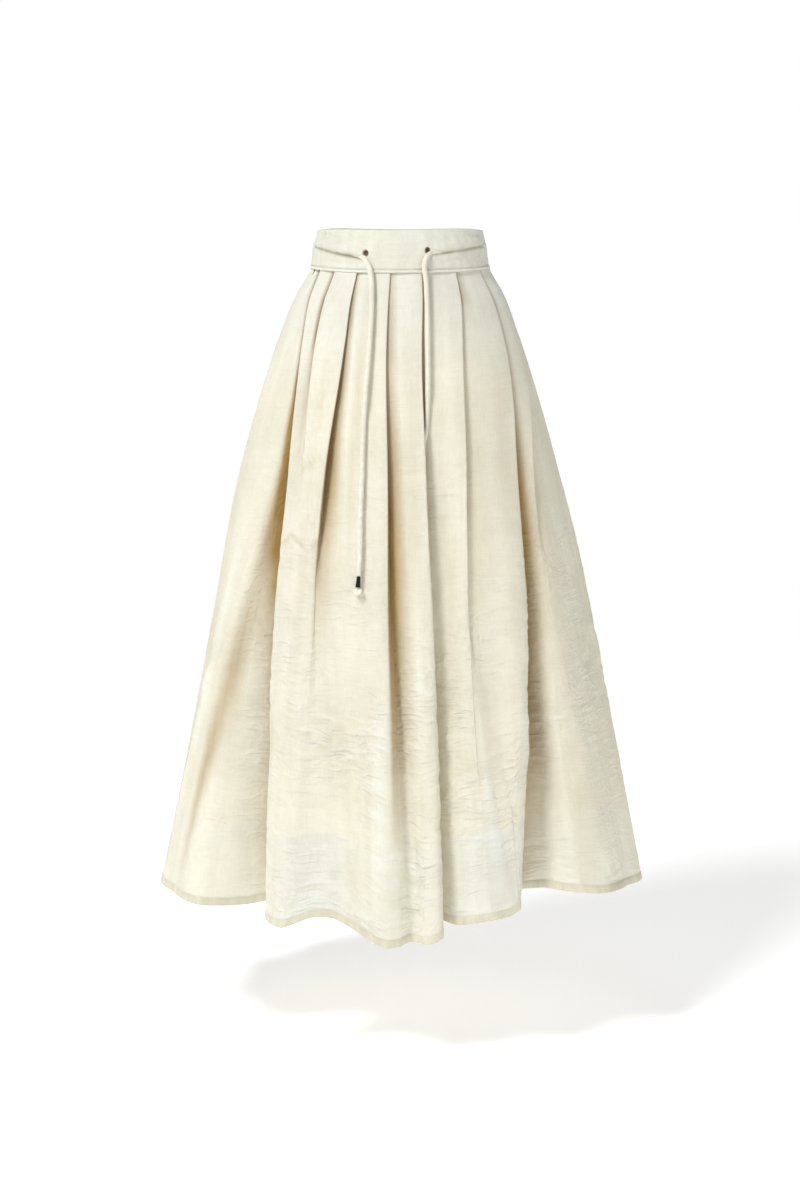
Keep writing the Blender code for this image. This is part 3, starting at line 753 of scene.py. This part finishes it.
# Broad troughs, each with painted shade along it, or painted light where its tone is below zero: angle and
# share at both ends, mm deep, mm wide, tone of the painted shade
troughs = (
    (-46, 0.30, -60, 0.70, 5.0, 15, 0.42), (-55, 0.50, -66, 0.98, 5.0, 17, 0.60),
    (-62, 0.36, -78, 0.92, -3.0, 20, -0.24), (-5, 0.60, -5, 0.94, -2.0, 12, -0.20),
    (-49, 0.52, -46, 0.44, -2.0, 8, -0.10), (5, 0.45, 6, 0.75, -2.0, 9, -0.12),
    (-39, 0.62, -52, 0.82, -3.0, 12, -0.16), (-36, 0.66, -44, 0.98, 3.0, 16, 0.20),
    (-20, 0.60, -14, 0.84, 3.0, 26, 0.07), (16, 0.30, 14, 0.80, 3.0, 20, 0.12),
    (40, 0.60, 44, 0.86, 3.0, 22, 0.16), (-33, 0.10, -35, 0.30, 1.2, 12, 0.10),
    (2, 0.06, 3, 0.34, 1.2, 12, 0.12), (48, 0.10, 40, 0.40, 2.0, 14, 0.10),
    (30, 0.12, 27, 0.50, 1.6, 10, 0.08), (-22, 0.03, -21, 0.34, -1.4, 7, -0.10),
    (-13, 0.05, -14, 0.60, -1.4, 8, -0.10), (2, 0.02, 0, 0.30, -1.2, 6, -0.08),
    (-40, 0.05, -35, 0.34, -1.4, 7, -0.08), (24, 0.04, 18, 0.40, -1.2, 8, -0.06),
    (-17.5, 0.03, -17.5, 0.45, 1.2, 5, 0.10), (8, 0.05, 4, 0.50, 1.0, 7, 0.12),
    (-46, 0.05, -39, 0.30, 1.0, 6, 0.10), (46, 0.04, 36, 0.40, 1.4, 9, 0.14),
    (22, 0.58, 24, 0.96, -2.0, 11, -0.14), (35, 0.55, 37, 0.95, -2.0, 12, -0.08),
    (-33, 0.30, -30, 0.60, 1.6, 9, 0.08), (-41, 0.420, -37, 0.403, 1.0, 4, 0.30),
    (-37, 0.403, -30, 0.426, 1.0, 4, 0.28), (-30, 0.426, -27, 0.407, 1.0, 4, 0.24),
    (-27.5, 0.407, -26, 0.478, 1.2, 5, 0.26), (-38, 0.312, -30, 0.280, 0.9, 4, 0.18),
)
# Soft flutes of the lower cloth: degrees at the hem, half width in degrees, and mm out
flutes = {
    "front": (
        (-80, 9, 6), (-68, 8, -5), (-55, 9, 12), (-40, 8, -10), (-28, 5, 5), (-17, 8, -9), (-3, 5, 14),
        (3, 2.5, -4), (7, 2.5, 6), (17, 5, 8), (27, 4, -1), (36, 6, -12), (56, 9, 13), (72, 7, -6),
        (84, 6, 6),
    ),
    "back": (
        (104, 7, 8), (112, 5, -7), (126, 7, 11), (138, 5, -8), (150, 6, 10), (165, 6, 8), (180, 5, -10),
        (196, 6, 10), (212, 5, -8), (222, 6, 9), (236, 6, -9), (250, 6, 10), (258, 4, -5),
    ),
    "startShare": 0.30,
}
surface = {
    "seed": 7,
    "longWave": (0.055, 0.60, 0.0060),
    "shortWave": (0.026, 0.30, 0.0020),
    "crinkle": (0.036, 0.0140, 0.0011),
    "crumple": (0.017, 0.019, 0.0006),
    "bend": (0.050, 0.070, 0.016),
    "patch": (0.085, 0.11),
    "broad": 12,  # mm, from which a crease fades right out at both ends
}


def creaseHeight(angle, share, crease):
    fromAngle, fromShare, toAngle, toShare, depth, width = crease
    scale = arcPerDegree((fromAngle + toAngle) / 2, (fromShare + toShare) / 2)
    x, y = (angle - fromAngle) * scale, (share - fromShare) * skirt["length"]
    runX, runY = (toAngle - fromAngle) * scale, (toShare - fromShare) * skirt["length"]
    long = math.hypot(runX, runY)
    along = np.clip((x * runX + y * runY) / long**2, 0, 1)
    away = np.hypot(x - along * runX, y - along * runY) / (width / 1000)
    fade = 0.35 + 0.65 * np.sin(np.pi * np.clip(along, 0.06, 0.94))
    if width >= surface["broad"]:
        fade = np.sin(np.pi * along)
    return -depth / 1000 * fade * (1 - 0.8 * away**2) * bell(away)


def clothRelief(angle, share, across, down, free, seed, side):
    def wave(kind, shift, bend=0.0):
        wide, tall, high = surface[kind]
        return high * softNoise(across / wide, (down + bend) / tall, seed + shift)

    turned = wave("bend", 9)
    lower = eased(0.06, 0.55, share)
    relief = (wave("longWave", 1) + wave("shortWave", 2)) * lower
    wide, tall = surface["patch"]
    patch = 0.35 + 0.65 * eased(-0.2, 0.5, softNoise(across / wide, down / tall, seed + 3))
    wide, tall, high = surface["crinkle"]
    ridges = 1 - 2 * np.abs(softNoise(across / wide, (down + turned) / tall, seed + 4))
    relief = relief + high * ridges * patch * eased(0.25, 0.62, share)
    relief = relief + wave("crumple", 5, turned) * patch * eased(0.10, 0.5, share)
    for middle, width, out in flutes[side]:
        swell = bell((angle[-1] - middle) / width)
        relief = relief + out / 1000 * swell * eased(flutes["startShare"], 1.05, share)
    relief = relief * free
    if side == "front":
        for crease in [*creases, *(trough[:6] for trough in troughs)]:
            relief = relief + creaseHeight(angle, share, crease) * (0.5 + 0.5 * free)
    return relief


# Painted warm shade where a fold covers the cloth beside it, painted dark shadow lines in the gap at a fold's
# edge, painted shade and light along the troughs, and the step in tone at the lining's edge
toneAndShade = {
    # Colour of the painted warm shade in the recess beside a fold's edge
    "recessShade": (0.52, 0.345, 0.13),
    "widthShares": (0.0, 0.2, 0.3, 0.42, 1.0),
    "recessWidths": (0.0035, 0.008, 0.0135, 0.0195, 0.028),
    # Painted dark shadow line in the gap at a fold's edge: its colour, its width and its strength beside each
    # pleat
    "gap": (0.38, 0.24, 0.11),
    "gapShadowWidth": 0.0026,
    "columns": 90,  # how far a fold's shade may reach
    "gaps": {
        "a": (2.0, 1.8, 0.6, 0.0, 0.0), "b": (2.2, 2.0, 0.9, 0.4, 0.0), "c": (1.5, 1.0, 0.1, 0.0, 0.0),
        "d": (0.4, 0.5, 0.3, 0.0, 0.0), "e": (0.3, 0.4, 0.4, 0.3, -0.1), "f": (0.5, 0.8, 0.4, 0.0, 0.0),
        "g": (0.4, 0.3, 0.2, 0.0, 0.0), "h": (0.4, 0.5, 0.5, 0.4, 0.3), "i": (0.5, 0.3, 0.0, 0.0, 0.0),
    },
    "plainGapShadow": (0.7, 0.6, 0.4, 0.2, 0.0),
    "nearBand": (0.985, 0.995, 1.02),
    "overLining": (1.0, 0.985, 0.95),
    "belowLining": (0.94, 0.955, 0.985),
    "liningEdge": 0.857,
    "liningShown": 0.35,
    "liningSeen": ((-21, 9), (22, 10), (150, 30), (215, 25)),
    "plain": (0.4, 0.5, 0.5, 0.5, 0.4),
    "wider": {"b": (1.0, 0.9, 0.9, 1.35, 1.3), "h": (1.0, 1.2, 1.2, 1.2, 1.2)},
    # Strength of the painted recess shade beside each pleat's edge, at each level
    "foldShadeStrength": {
        "a": (1.0, 1.0, 0.3, 0.2, 0.1), "b": (1.0, 1.4, 3.2, 1.3, 0.2), "c": (0.6, 0.5, 0.0, 0.0, 0.0),
        "d": (0.4, 0.5, 0.8, 0.1, -0.6), "e": (0.25, 0.35, 0.85, 0.9, -0.5), "f": (0.2, 0.2, 0.1, 0.0, 0.2),
        "g": (0.25, 0.25, 0.2, 0.1, -0.2), "h": (0.35, 0.45, 1.2, 1.05, 0.35), "i": (0.3, 0.2, 0.2, 0.1, 0.1),
    },
}


def clothToneAndPaintedShade(spans, angles, share):
    shade, line = np.zeros(angles.shape), np.zeros(angles.shape)
    column = np.arange(angles.shape[1])[None]
    for name, pleat, fold, first, last in spans:
        faces = pleat[0]
        edge = (fold[0] if faces == rightFacing else fold[-1])[0][:, None]
        away = faces * (angles - edge) * arcPerDegree(edge, share[:, None])
        under = column > first if faces == rightFacing else column < last
        near = np.abs(column - (first + last) / 2) < toneAndShade["columns"]
        widths = np.array(toneAndShade["recessWidths"]) * toneAndShade["wider"].get(name, 1)
        width = np.interp(share, toneAndShade["widthShares"], widths)[:, None]
        strength = atLevels(toneAndShade["foldShadeStrength"].get(name, toneAndShade["plain"]), share)[:, None]
        deep = np.exp(-((np.maximum(away, 0) / width) ** 2.6)) * under * near * strength
        shade = np.maximum(shade, np.minimum(deep, 1))
        # Painted shadow line in the narrow gap beside the fold's edge
        dark = atLevels(toneAndShade["gaps"].get(name, toneAndShade["plainGapShadow"]), share)[:, None]
        turned = np.maximum(np.cos(np.radians(edge)), 0.3)
        wide = toneAndShade["gapShadowWidth"] * (0.6 + 0.6 * dark) / turned
        thin = np.exp(-((np.maximum(away, 0) / wide) ** 4)) * under * near
        line = np.maximum(line, thin * np.clip(dark, 0, 1))
    wobble = 0.005 * softNoise(angles / 7.0, share[:, None] * 0 + 0.5, 31)
    low = eased(toneAndShade["liningEdge"] - 0.004, toneAndShade["liningEdge"] + 0.006, share[:, None] + wobble)
    shown = np.full(angles.shape, toneAndShade["liningShown"])
    for middle, half in toneAndShade["liningSeen"]:
        shown = np.maximum(shown, np.exp(-(((angles - middle) / half) ** 4)))
    low = (low * shown)[..., None]
    tint = np.array(toneAndShade["overLining"]) * (1 - low) + np.array(toneAndShade["belowLining"]) * low
    high = eased(0.20, 0.03, share)[:, None, None]
    tint = tint * (1 - high) + np.array(toneAndShade["nearBand"]) * high
    # Painted warm shade in the recess beside each fold's edge
    tint = toned(tint, shade, toneAndShade["recessShade"])
    # Painted shade along each trough, painted light where its tone is below zero
    for *ends, deep, width, tone in troughs:
        covered = -creaseHeight(angles, share[:, None], (*ends, 1000, width)).clip(max=0)
        tint = toned(tint, tone * covered, toneAndShade["recessShade"])
    # Painted dark shadow lines in the gaps beside the fold edges
    return toned(tint, line, toneAndShade["gap"])


# Each row of points softened along its own length, its ends kept
def softened(points, reach):
    result = points.copy()
    inner = np.arange(1, points.shape[1] - 1)
    for row, far in zip(result, reach):
        gaps = np.maximum(np.linalg.norm(np.diff(row, axis=0), axis=1), 1e-5)
        middle = (gaps[:-1] + gaps[1:]) / 2
        pull = np.eye(len(row))
        pull[inner, inner - 1] = -far**2 / 2 / (gaps[:-1] * middle)
        pull[inner, inner + 1] = -far**2 / 2 / (gaps[1:] * middle)
        pull[inner, inner] -= pull[inner, inner - 1] + pull[inner, inner + 1]
        row[:] = np.linalg.solve(pull, row)
    return result


def buildPanel(side, pleats, foldsAt, seed):
    share = np.linspace(0, 1, skirt["rows"])
    folds = foldsAt(share)
    angles, offsets, cornerAt = sectionColumns(folds, share)
    shares = share[:, None] + 0 * angles
    base = softened(onCloth(angles, offsets, shares),
                    np.interp(share, skirt["softenShares"], skirt["softenReach"]))
    steps = np.linalg.norm(np.diff(base, axis=1), axis=2)
    lengths = np.concatenate([np.zeros((len(share), 1)), np.cumsum(steps, axis=1)], axis=1)
    across = lengths[int(skirt["planShare"] * skirt["rows"])][None] + 0 * angles
    spans = list(foldSpans(pleats, folds, cornerAt))
    down = shares * skirt["length"]
    seams = eased(0, skirt["seamEase"], lengths) * eased(0, skirt["seamEase"], lengths[:, -1:] - lengths)
    relief = clothRelief(angles, shares, across, down, freedom(spans, lengths, share), seed, side) * seams
    points = base + gridNormals(base) * relief[..., None]
    points[..., 2] += seamRise(angles) * (1 - eased(0.0, 0.30, shares))
    points[0, :, 2] += skirt["tuck"]
    plan = np.stack([across, down], axis=-1)
    panel = gridMesh(side + "_cloth", points, plan, tint=clothToneAndPaintedShade(spans, angles, share))
    edges = [float(steps[row].sum()) for row in (0, -1)]
    heights = np.linalg.norm(np.diff(base, axis=0), axis=2)
    area = float((heights[:, :-1] * (steps[:-1] + steps[1:]) / 2).sum())
    print(f"{side}: {angles.shape[1]} columns, seam {edges[0]:.3f} m, hem {edges[1]:.3f} m, "
          f"area {area:.3f} m2")
    return panel, points


# Hem: the cloth's lowest stretch turned up on itself, its bead at the bottom and its stitches

hem = {
    "height": 0.0105,
    "out": 0.0005,
    "step": 0.0026,
    "pucker": 0.00035,
    "profile": (  # up in hem heights, out in layers, and how much it puckers
        (1.0, 0.15, 0), (0.93, 1.0, 0.3), (0.6, 1.5, 1), (0.25, 1.4, 1), (0.03, 1.1, 0.5), (-0.05, 0.3, 0),
        (-0.05, -0.8, 0), (0.05, -1.6, 0), (0.5, -1.9, 0), (0.95, -1.7, 0), (1.0, -0.6, 0),
    ),
    "tone": (0.96, 0.935, 0.875),
}


def buildHem(name, points, paint):
    edge, places = resampled(points[-1], hem["step"])
    rising = unit(interpolated(places, distances(points[-1]), points[-4]) - edge)
    out = unit(np.cross(unit(np.gradient(edge, axis=0)), rising))
    flat = 0 * places
    pucker = softNoise(places / 0.0065, flat, 41) + 0.5 * softNoise(places / 0.0035, flat, 42)
    grid = []
    for up, off, lift in hem["profile"]:
        beyond = hem["out"] * off + hem["pucker"] * pucker * lift
        grid.append(edge + rising * hem["height"] * up + out * beyond[:, None])
    grid = np.stack(grid)
    plan = np.stack(np.meshgrid(places, np.linspace(0, 0.022, len(grid))), axis=-1)
    shade = 1 + 0.05 * softNoise(places / 0.0055, flat, 43) + 0.03 * softNoise(places / 0.03, flat, 44)
    tint = np.array(hem["tone"]) * shade[None, :, None] * np.ones((len(grid), 1, 1))
    made = gridMesh(name, grid, plan, tint=tint)
    dress(made, paint)
    return made, edge + rising * hem["height"] * 0.96 + out * (hem["out"] + 0.0002)


# Stitches along a line of points, by geometry nodes, then turned into a plain mesh

stitches = {
    "waist": {"Pitch": 0.0031, "Stitch Length": 0.0022, "Thread Width": 0.00055, "Seed": 3},
    "hem": {"Pitch": 0.0036, "Stitch Length": 0.0026, "Thread Width": 0.00045, "Seed": 5},
    "unevenness": 0.12,
}


def stitchGroup():
    tree = bpy.data.node_groups.new("stitchRow", "GeometryNodeTree")
    face = tree.interface
    face.new_socket("Geometry", in_out="INPUT", socket_type="NodeSocketGeometry")
    for name, kind in (("Pitch", "Float"), ("Stitch Length", "Float"), ("Thread Width", "Float"),
                       ("Unevenness", "Float"), ("Seed", "Int"), ("Thread", "Material")):
        face.new_socket(name, in_out="INPUT", socket_type="NodeSocket" + kind)
    face.new_socket("Geometry", in_out="OUTPUT", socket_type="NodeSocketGeometry")
    given = tree.nodes.new("NodeGroupInput").outputs
    curve = addNode(tree, "GeometryNodeMeshToCurve", i0=given["Geometry"])
    spaced = addNode(tree, "GeometryNodeResampleCurve", {"mode": "LENGTH"}, Curve=curve.outputs[0],
                     Length=given["Pitch"])
    tangent = tree.nodes.new("GeometryNodeInputTangent").outputs[0]
    turned = addNode(tree, "FunctionNodeAlignRotationToVector", {"axis": "X"}, Vector=tangent)
    bead = addNode(tree, "GeometryNodeMeshUVSphere", Segments=6, Rings=4, Radius=0.5)
    size = addNode(tree, "ShaderNodeCombineXYZ", i0=given["Stitch Length"], i1=given["Thread Width"],
                   i2=given["Thread Width"])
    shaped = addNode(tree, "GeometryNodeTransform", Geometry=bead.outputs[0], Scale=size.outputs[0])
    low = maths(tree, "SUBTRACT", 1.0, given["Unevenness"])
    high = maths(tree, "ADD", 1.0, given["Unevenness"])
    spreads = addNode(tree, "FunctionNodeRandomValue", {"data_type": "FLOAT"}, i2=low, i3=high,
                      Seed=given["Seed"])
    placed = addNode(tree, "GeometryNodeInstanceOnPoints", Points=spaced.outputs[0],
                     Instance=shaped.outputs[0], Rotation=turned.outputs[0], Scale=spreads.outputs[1])
    real = addNode(tree, "GeometryNodeRealizeInstances", Geometry=placed.outputs[0])
    painted = addNode(tree, "GeometryNodeSetMaterial", Geometry=real.outputs[0], Material=given["Thread"])
    tree.links.new(painted.outputs[0], tree.nodes.new("NodeGroupOutput").inputs["Geometry"])
    return tree


def sewRow(name, points, kind, paint, group, closed=False):
    mesh = bpy.data.meshes.new(name)
    count = len(points)
    edges = [(k, k + 1) for k in range(count - 1)] + ([(count - 1, 0)] if closed else [])
    mesh.from_pydata(np.asarray(points).tolist(), edges, [])
    obj = inScene(name, mesh)
    sewing = obj.modifiers.new("stitches", "NODES")
    sewing.node_group = group
    values = {**stitches[kind], "Unevenness": stitches["unevenness"], "Thread": paint}
    for item in group.interface.items_tree:
        if item.in_out == "INPUT" and item.name in values:
            sewing[item.identifier] = values[item.name]
    bpy.context.view_layer.update()
    graph = bpy.context.evaluated_depsgraph_get()
    plain = bpy.data.meshes.new_from_object(obj.evaluated_get(graph))
    obj.modifiers.clear()
    obj.data = plain
    obj.data.shade_smooth()
    dress(obj, paint)
    return obj


def threadPaint():
    paint, tree, shader = newMaterial("sewingThread")
    place = ownPlace(tree)
    twist = stretchedNoise(tree, place, (2500.0, 2500.0, 2500.0), 1.0)
    dark = tuple(part * 0.86 for part in linen["threadTone"][:3]) + (1,)
    tree.links.new(blended(tree, twist, dark, linen["threadTone"]), shader.inputs["Base Color"])
    shader.inputs["Roughness"].default_value = 0.6
    return paint


# Waistband: one fine skin over the band, with its tunnel, puffs, creases, holes and seam strip, and painted
# shade and light on them.
# Its creases run from an angle and height in mm to another, with depth and width in mm and the strength of
# the painted shade along them.

band = {
    "height": 0.057,
    "radius": 0.105,
    "topSize": (0.1105, 0.0840),
    "seamSize": (0.1205, 0.0925),
    "thick": 0.0042,
    "sideDip": 0.0035,
    "frontSag": 0.0012,
    "backSag": 0.0034,
    "sideRise": 0.0034,
    "tunnelHeight": 0.0045,
    "bulge": 0.0026,
    "bulgeHeight": 0.0095,
    "flatSides": 0.6,
    "tunnelEnds": (-33.0, 30.0),
    "tunnelFades": 10.0,
    "holes": {"left": (-22.9, -0.0031, 0.0044, 0.0052), "right": (18.4, 0.0004, 0.0040, 0.0056)},
    "holeDepth": 0.0034,
    "shadeParts": (0.95, 1.0, 1.15),
    # Painted shade inside the holes
    "holeShade": (0.20, 0.15, 0.11),
    "stripHeight": 0.0036,
    "stripLift": 0.0007,
    "grain": ((0.016, 0.035, 0.0007, 51), (0.009, 0.016, 0.0005, 52), (0.005, 0.006, 0.0003, 53)),
    "creases": (
        (-80, 5.0, -60, 0.5, 0.4, 3.0, 0.5), (-60, 0.5, -46, -4.0, 1.4, 3.2, 0.5),
        (-46, -4.0, -26, -9.5, 3.0, 3.2, 0.6), (-74, 12.0, -34, 4.0, -1.8, 6.0, 0.0),
        (-39, 21, -30, 12, 1.2, 3.4, 0.0), (-62, 21, -44, 14, 1.4, 4.0, 0.0),
        (-80, 14, -56, 20, 1.2, 4.0, 0.0), (20, -5.0, 38, -1.0, 2.2, 3.2, 0.45),
        (38, -1.0, 60, 3.5, 0.8, 3.4, 0.45), (60, 3.5, 80, 6.0, 0.3, 3.0, 0.45),
        (26, 8, 72, 13, -1.6, 6.0, 0.0), (-20, -9, 18, -9, 0.7, 3.2, 0.0), (-12, 5, 14, 7, 0.5, 4.0, 0.0),
        (50, 18, 70, 20, 0.9, 4.0, 0.0), (28, -15, 50, -11, 0.9, 4.0, 0.0),
        (-60, -14, -34, -17, 0.8, 4.0, 0.0), (95, 3, 130, -2, 1.6, 5.0, 0.0),
        (140, 4, 175, 0, 1.6, 5.0, 0.0), (190, -3, 222, 4, 1.6, 5.0, 0.0), (232, -1, 268, 3, 1.6, 5.0, 0.0),
    ),
}


# The seam sits higher at the sides than at the front and back
def seamRise(angle):
    return band["sideRise"] * np.sin(np.radians(angle)) ** 4


def bandPoint(angle, height, out):
    turn = np.radians(angle)
    sag = np.where(np.cos(turn) > 0, band["frontSag"], band["backSag"]) * np.cos(turn) ** 2
    dip = (band["sideDip"] * np.sin(turn) ** 8 + sag) * (height + 1) / 2
    z = height * band["height"] / 2 - dip + seamRise(angle) * (1 - height) / 2
    share = (height + 1) / 2
    sizes = zip(band["seamSize"], band["topSize"])
    halfWidth, halfDepth = (seam + (top - seam) * share for seam, top in sizes)
    seen, (left, right) = wrapped(angle), band["tunnelEnds"]
    inside = np.maximum(left - seen, seen - right) + band["tunnelFades"]
    rise = bell((z - band["tunnelHeight"]) / band["bulgeHeight"]) * eased(0, band["tunnelFades"], inside)
    bulge = band["bulge"] * rise * (1 - band["flatSides"] * np.sin(turn) ** 4)
    offset = -band["thick"] / 2 + out * (band["thick"] / 2 + bulge)
    return np.stack([(halfWidth + offset) * np.sin(turn), -(halfDepth + offset) * np.cos(turn), z], axis=-1)


def bandRelief(angle, z):
    around = np.radians(angle) * band["radius"]
    shade = 0 * angle
    relief = sum(high * softNoise(around / wide, z / tall, seed) for wide, tall, high, seed in band["grain"])
    for fromAngle, fromHeight, toAngle, toHeight, depth, width, dark in band["creases"]:
        seen = angle if fromAngle > 90 else wrapped(angle)
        x, y = np.radians(seen - fromAngle) * band["radius"], z - fromHeight / 1000
        runX, runY = math.radians(toAngle - fromAngle) * band["radius"], (toHeight - fromHeight) / 1000
        along = np.clip((x * runX + y * runY) / (runX**2 + runY**2), 0, 1)
        away = np.hypot(x - along * runX, y - along * runY) / (width / 1000)
        fade = 0.4 + 0.6 * np.sin(np.pi * along)
        relief = relief - depth / 1000 * fade * (1 - 0.7 * away**2) * bell(away)
        # Painted warm shade along the deeper creases
        shade = np.maximum(shade, dark * (0.6 * bell(away * 2) + 0.4 * bell(away)))
    low = z + band["height"] / 2 - seamRise(angle)
    calm = eased(0.0285, 0.024, z) * eased(0.0, 0.0065, low)
    above = low - band["stripHeight"]
    strip = band["stripLift"] * eased(0.0, 0.0012, low) * eased(0.0012, 0.0, above)
    groove = -0.0009 * bell((above - 0.0010) / 0.0008)
    ripple = 1 + 0.4 * softNoise(around / 0.0065, z * 0, 54)
    return relief * calm + (strip + groove) * ripple, shade


def buildBand(paint, thread, group):
    angles = np.concatenate([np.arange(-62, 62, 0.45), np.arange(62, 298, 1.0)])
    outside = np.linspace(0.985, -1.0, 62)
    profile = [(0.97, -1.0), (0.995, -0.6), (1.0, 0.0), (0.998, 0.6)] + [(height, 1.0) for height in outside]
    profile += [(-1.0, 0.4), (-1.0, -0.4), (-1.0, -0.95)]
    profile += [(height, -1.0) for height in np.linspace(-0.97, 0.92, 14)]
    angle, height = np.meshgrid(angles, [row[0] for row in profile])
    out = np.array([row[1] for row in profile])[:, None] + 0 * angle
    points = bandPoint(angle, height, out)
    z = points[..., 2]
    turn = np.radians(angle)
    wide, deep = band["seamSize"]
    outward = unit(np.stack([np.sin(turn) / wide, -np.cos(turn) / deep, 0 * turn], axis=-1))
    face = (out > 0.9).astype(float)
    lift, shade = (part * face for part in bandRelief(angle, z))
    hole = np.zeros(angle.shape)
    for middle, up, wide, tall in band["holes"].values():
        away = np.hypot(np.radians(wrapped(angle) - middle) * band["radius"] / wide, (z - up) / tall)
        hole = np.maximum(hole, eased(1.0, 0.62, away) * face)
    lift = lift * (1 - hole) - band["holeDepth"] * hole
    points = points + outward * lift[..., None]
    # Painted shade: the holes' pockets are coloured nearly black
    tint = toned(1, hole, band["holeShade"])
    # Painted shade along the band's creases
    tint = tint * (1 - shade[..., None] * np.array(band["shadeParts"]))
    low = z + band["height"] / 2 - seamRise(angle)
    above = low - band["stripHeight"]
    # Painted light on the raised seam strip, painted shade in the stitch groove and painted shadow along the
    # band's lower edge
    strip = (eased(0.0006, 0.0014, low) * eased(0.0006, -0.0002, above) * face)[..., None]
    seamGrooveShade = (bell((above - 0.0010) / 0.0007) * face)[..., None]
    bandEdgeShadow = (eased(0.0009, 0.0002, low) * face)[..., None]
    tint = tint * (1 + strip * 0.07) * (1 - seamGrooveShade * 0.30) * (1 - bandEdgeShadow * 0.45)
    plan = np.stack([np.radians(angle) * 0.115, np.cumsum(np.full(angle.shape, 0.0012), axis=0)], axis=-1)
    skin = gridMesh("band_skin", points, plan, closed=True, ringed=True, tint=tint)
    dress(skin, paint, ["waistband"])
    row = int(np.argmin(np.abs(low[4:66, 0] - band["stripHeight"] - 0.0008))) + 4
    line = points[row] + outward[row] * 0.0004
    sewn = sewRow("band_stitches", line, "waist", thread, group, closed=True)


# Lining: a plain inner skirt

lining = {
    "edge": 0.857,
    "shares": (0.0, 0.04, 0.10, 0.20, 0.35, 0.55, 0.857),
    "inside": (0.0095, 0.0125, 0.017, 0.030, 0.050, 0.066, 0.084),
    "rows": 90,
    "columns": 260,
}


def buildLining(paint):
    share = np.linspace(0, lining["edge"], lining["rows"])[:, None]
    angles = np.linspace(0, 360, lining["columns"], endpoint=False)[None] + 0 * share
    shares = share + 0 * angles
    inside = through(lining["shares"], lining["inside"], share)
    turn = np.radians(angles)
    wave = 0.004 * softNoise(np.abs(turn - math.pi) / 0.17, shares * 1.4, 61)
    ripple = 0.0015 * softNoise(np.abs(turn - math.pi) / 0.06, shares * 4, 62)
    points = onCloth(angles, -inside + (wave + ripple) * eased(0.05, 0.5, shares), shares)
    top = onCloth(angles[:1], -0.0046 + 0 * angles[:1], shares[:1])
    top[..., 2] = -band["height"] / 2 + 0.0005 + seamRise(angles[:1])
    points = np.concatenate([top, points])
    down = np.concatenate([[[-0.005]], share]) * skirt["length"] + 0 * points[..., 0]
    around = np.concatenate([turn[:1], turn]) * 0.2
    made = gridMesh("lining_cloth", points, np.stack([around, down], axis=-1), closed=True)
    dress(made, paint, ["lining"])


# A panel with its hem and the hem's stitches
def sewPanel(name, pleats, foldsAt, seed, paint, thread, group):
    panel, points = buildPanel(name, pleats, foldsAt, seed)
    dress(panel, paint, [name + "_panel"])
    turnUp, line = buildHem(name + "_hem", points, paint)
    sewn = sewRow(name + "_hem_stitches", line, "hem", thread, group)
    return points


def main():
    buildStudio()
    panelPaint = clothPaint("ivoryLinen", linen["tone"], linen["throughPanel"])
    bandPaint = clothPaint("bandLinen", linen["bandTone"], linen["throughBand"])
    liningPaint = clothPaint("creamLining", linen["liningTone"], linen["throughLining"], tinted=False)
    cordPaint = clothPaint("cordLinen", linen["cordTone"], 0.0, tinted=False)
    knotPaint = clothPaint("knotLinen", linen["knotTone"], 0.0, tinted=False)
    thread = threadPaint()
    group = stitchGroup()
    buildBand(bandPaint, thread, group)
    seed = surface["seed"]
    front = sewPanel("front", frontPleats, frontFolds, seed, panelPaint, thread, group)
    sewPanel("back", backPleats, backFolds, seed + 40, panelPaint, thread, group)
    buildLining(liningPaint)
    print("cloth ready")
    buildTie(cordPaint, knotPaint, tipPaint(), front)


main()
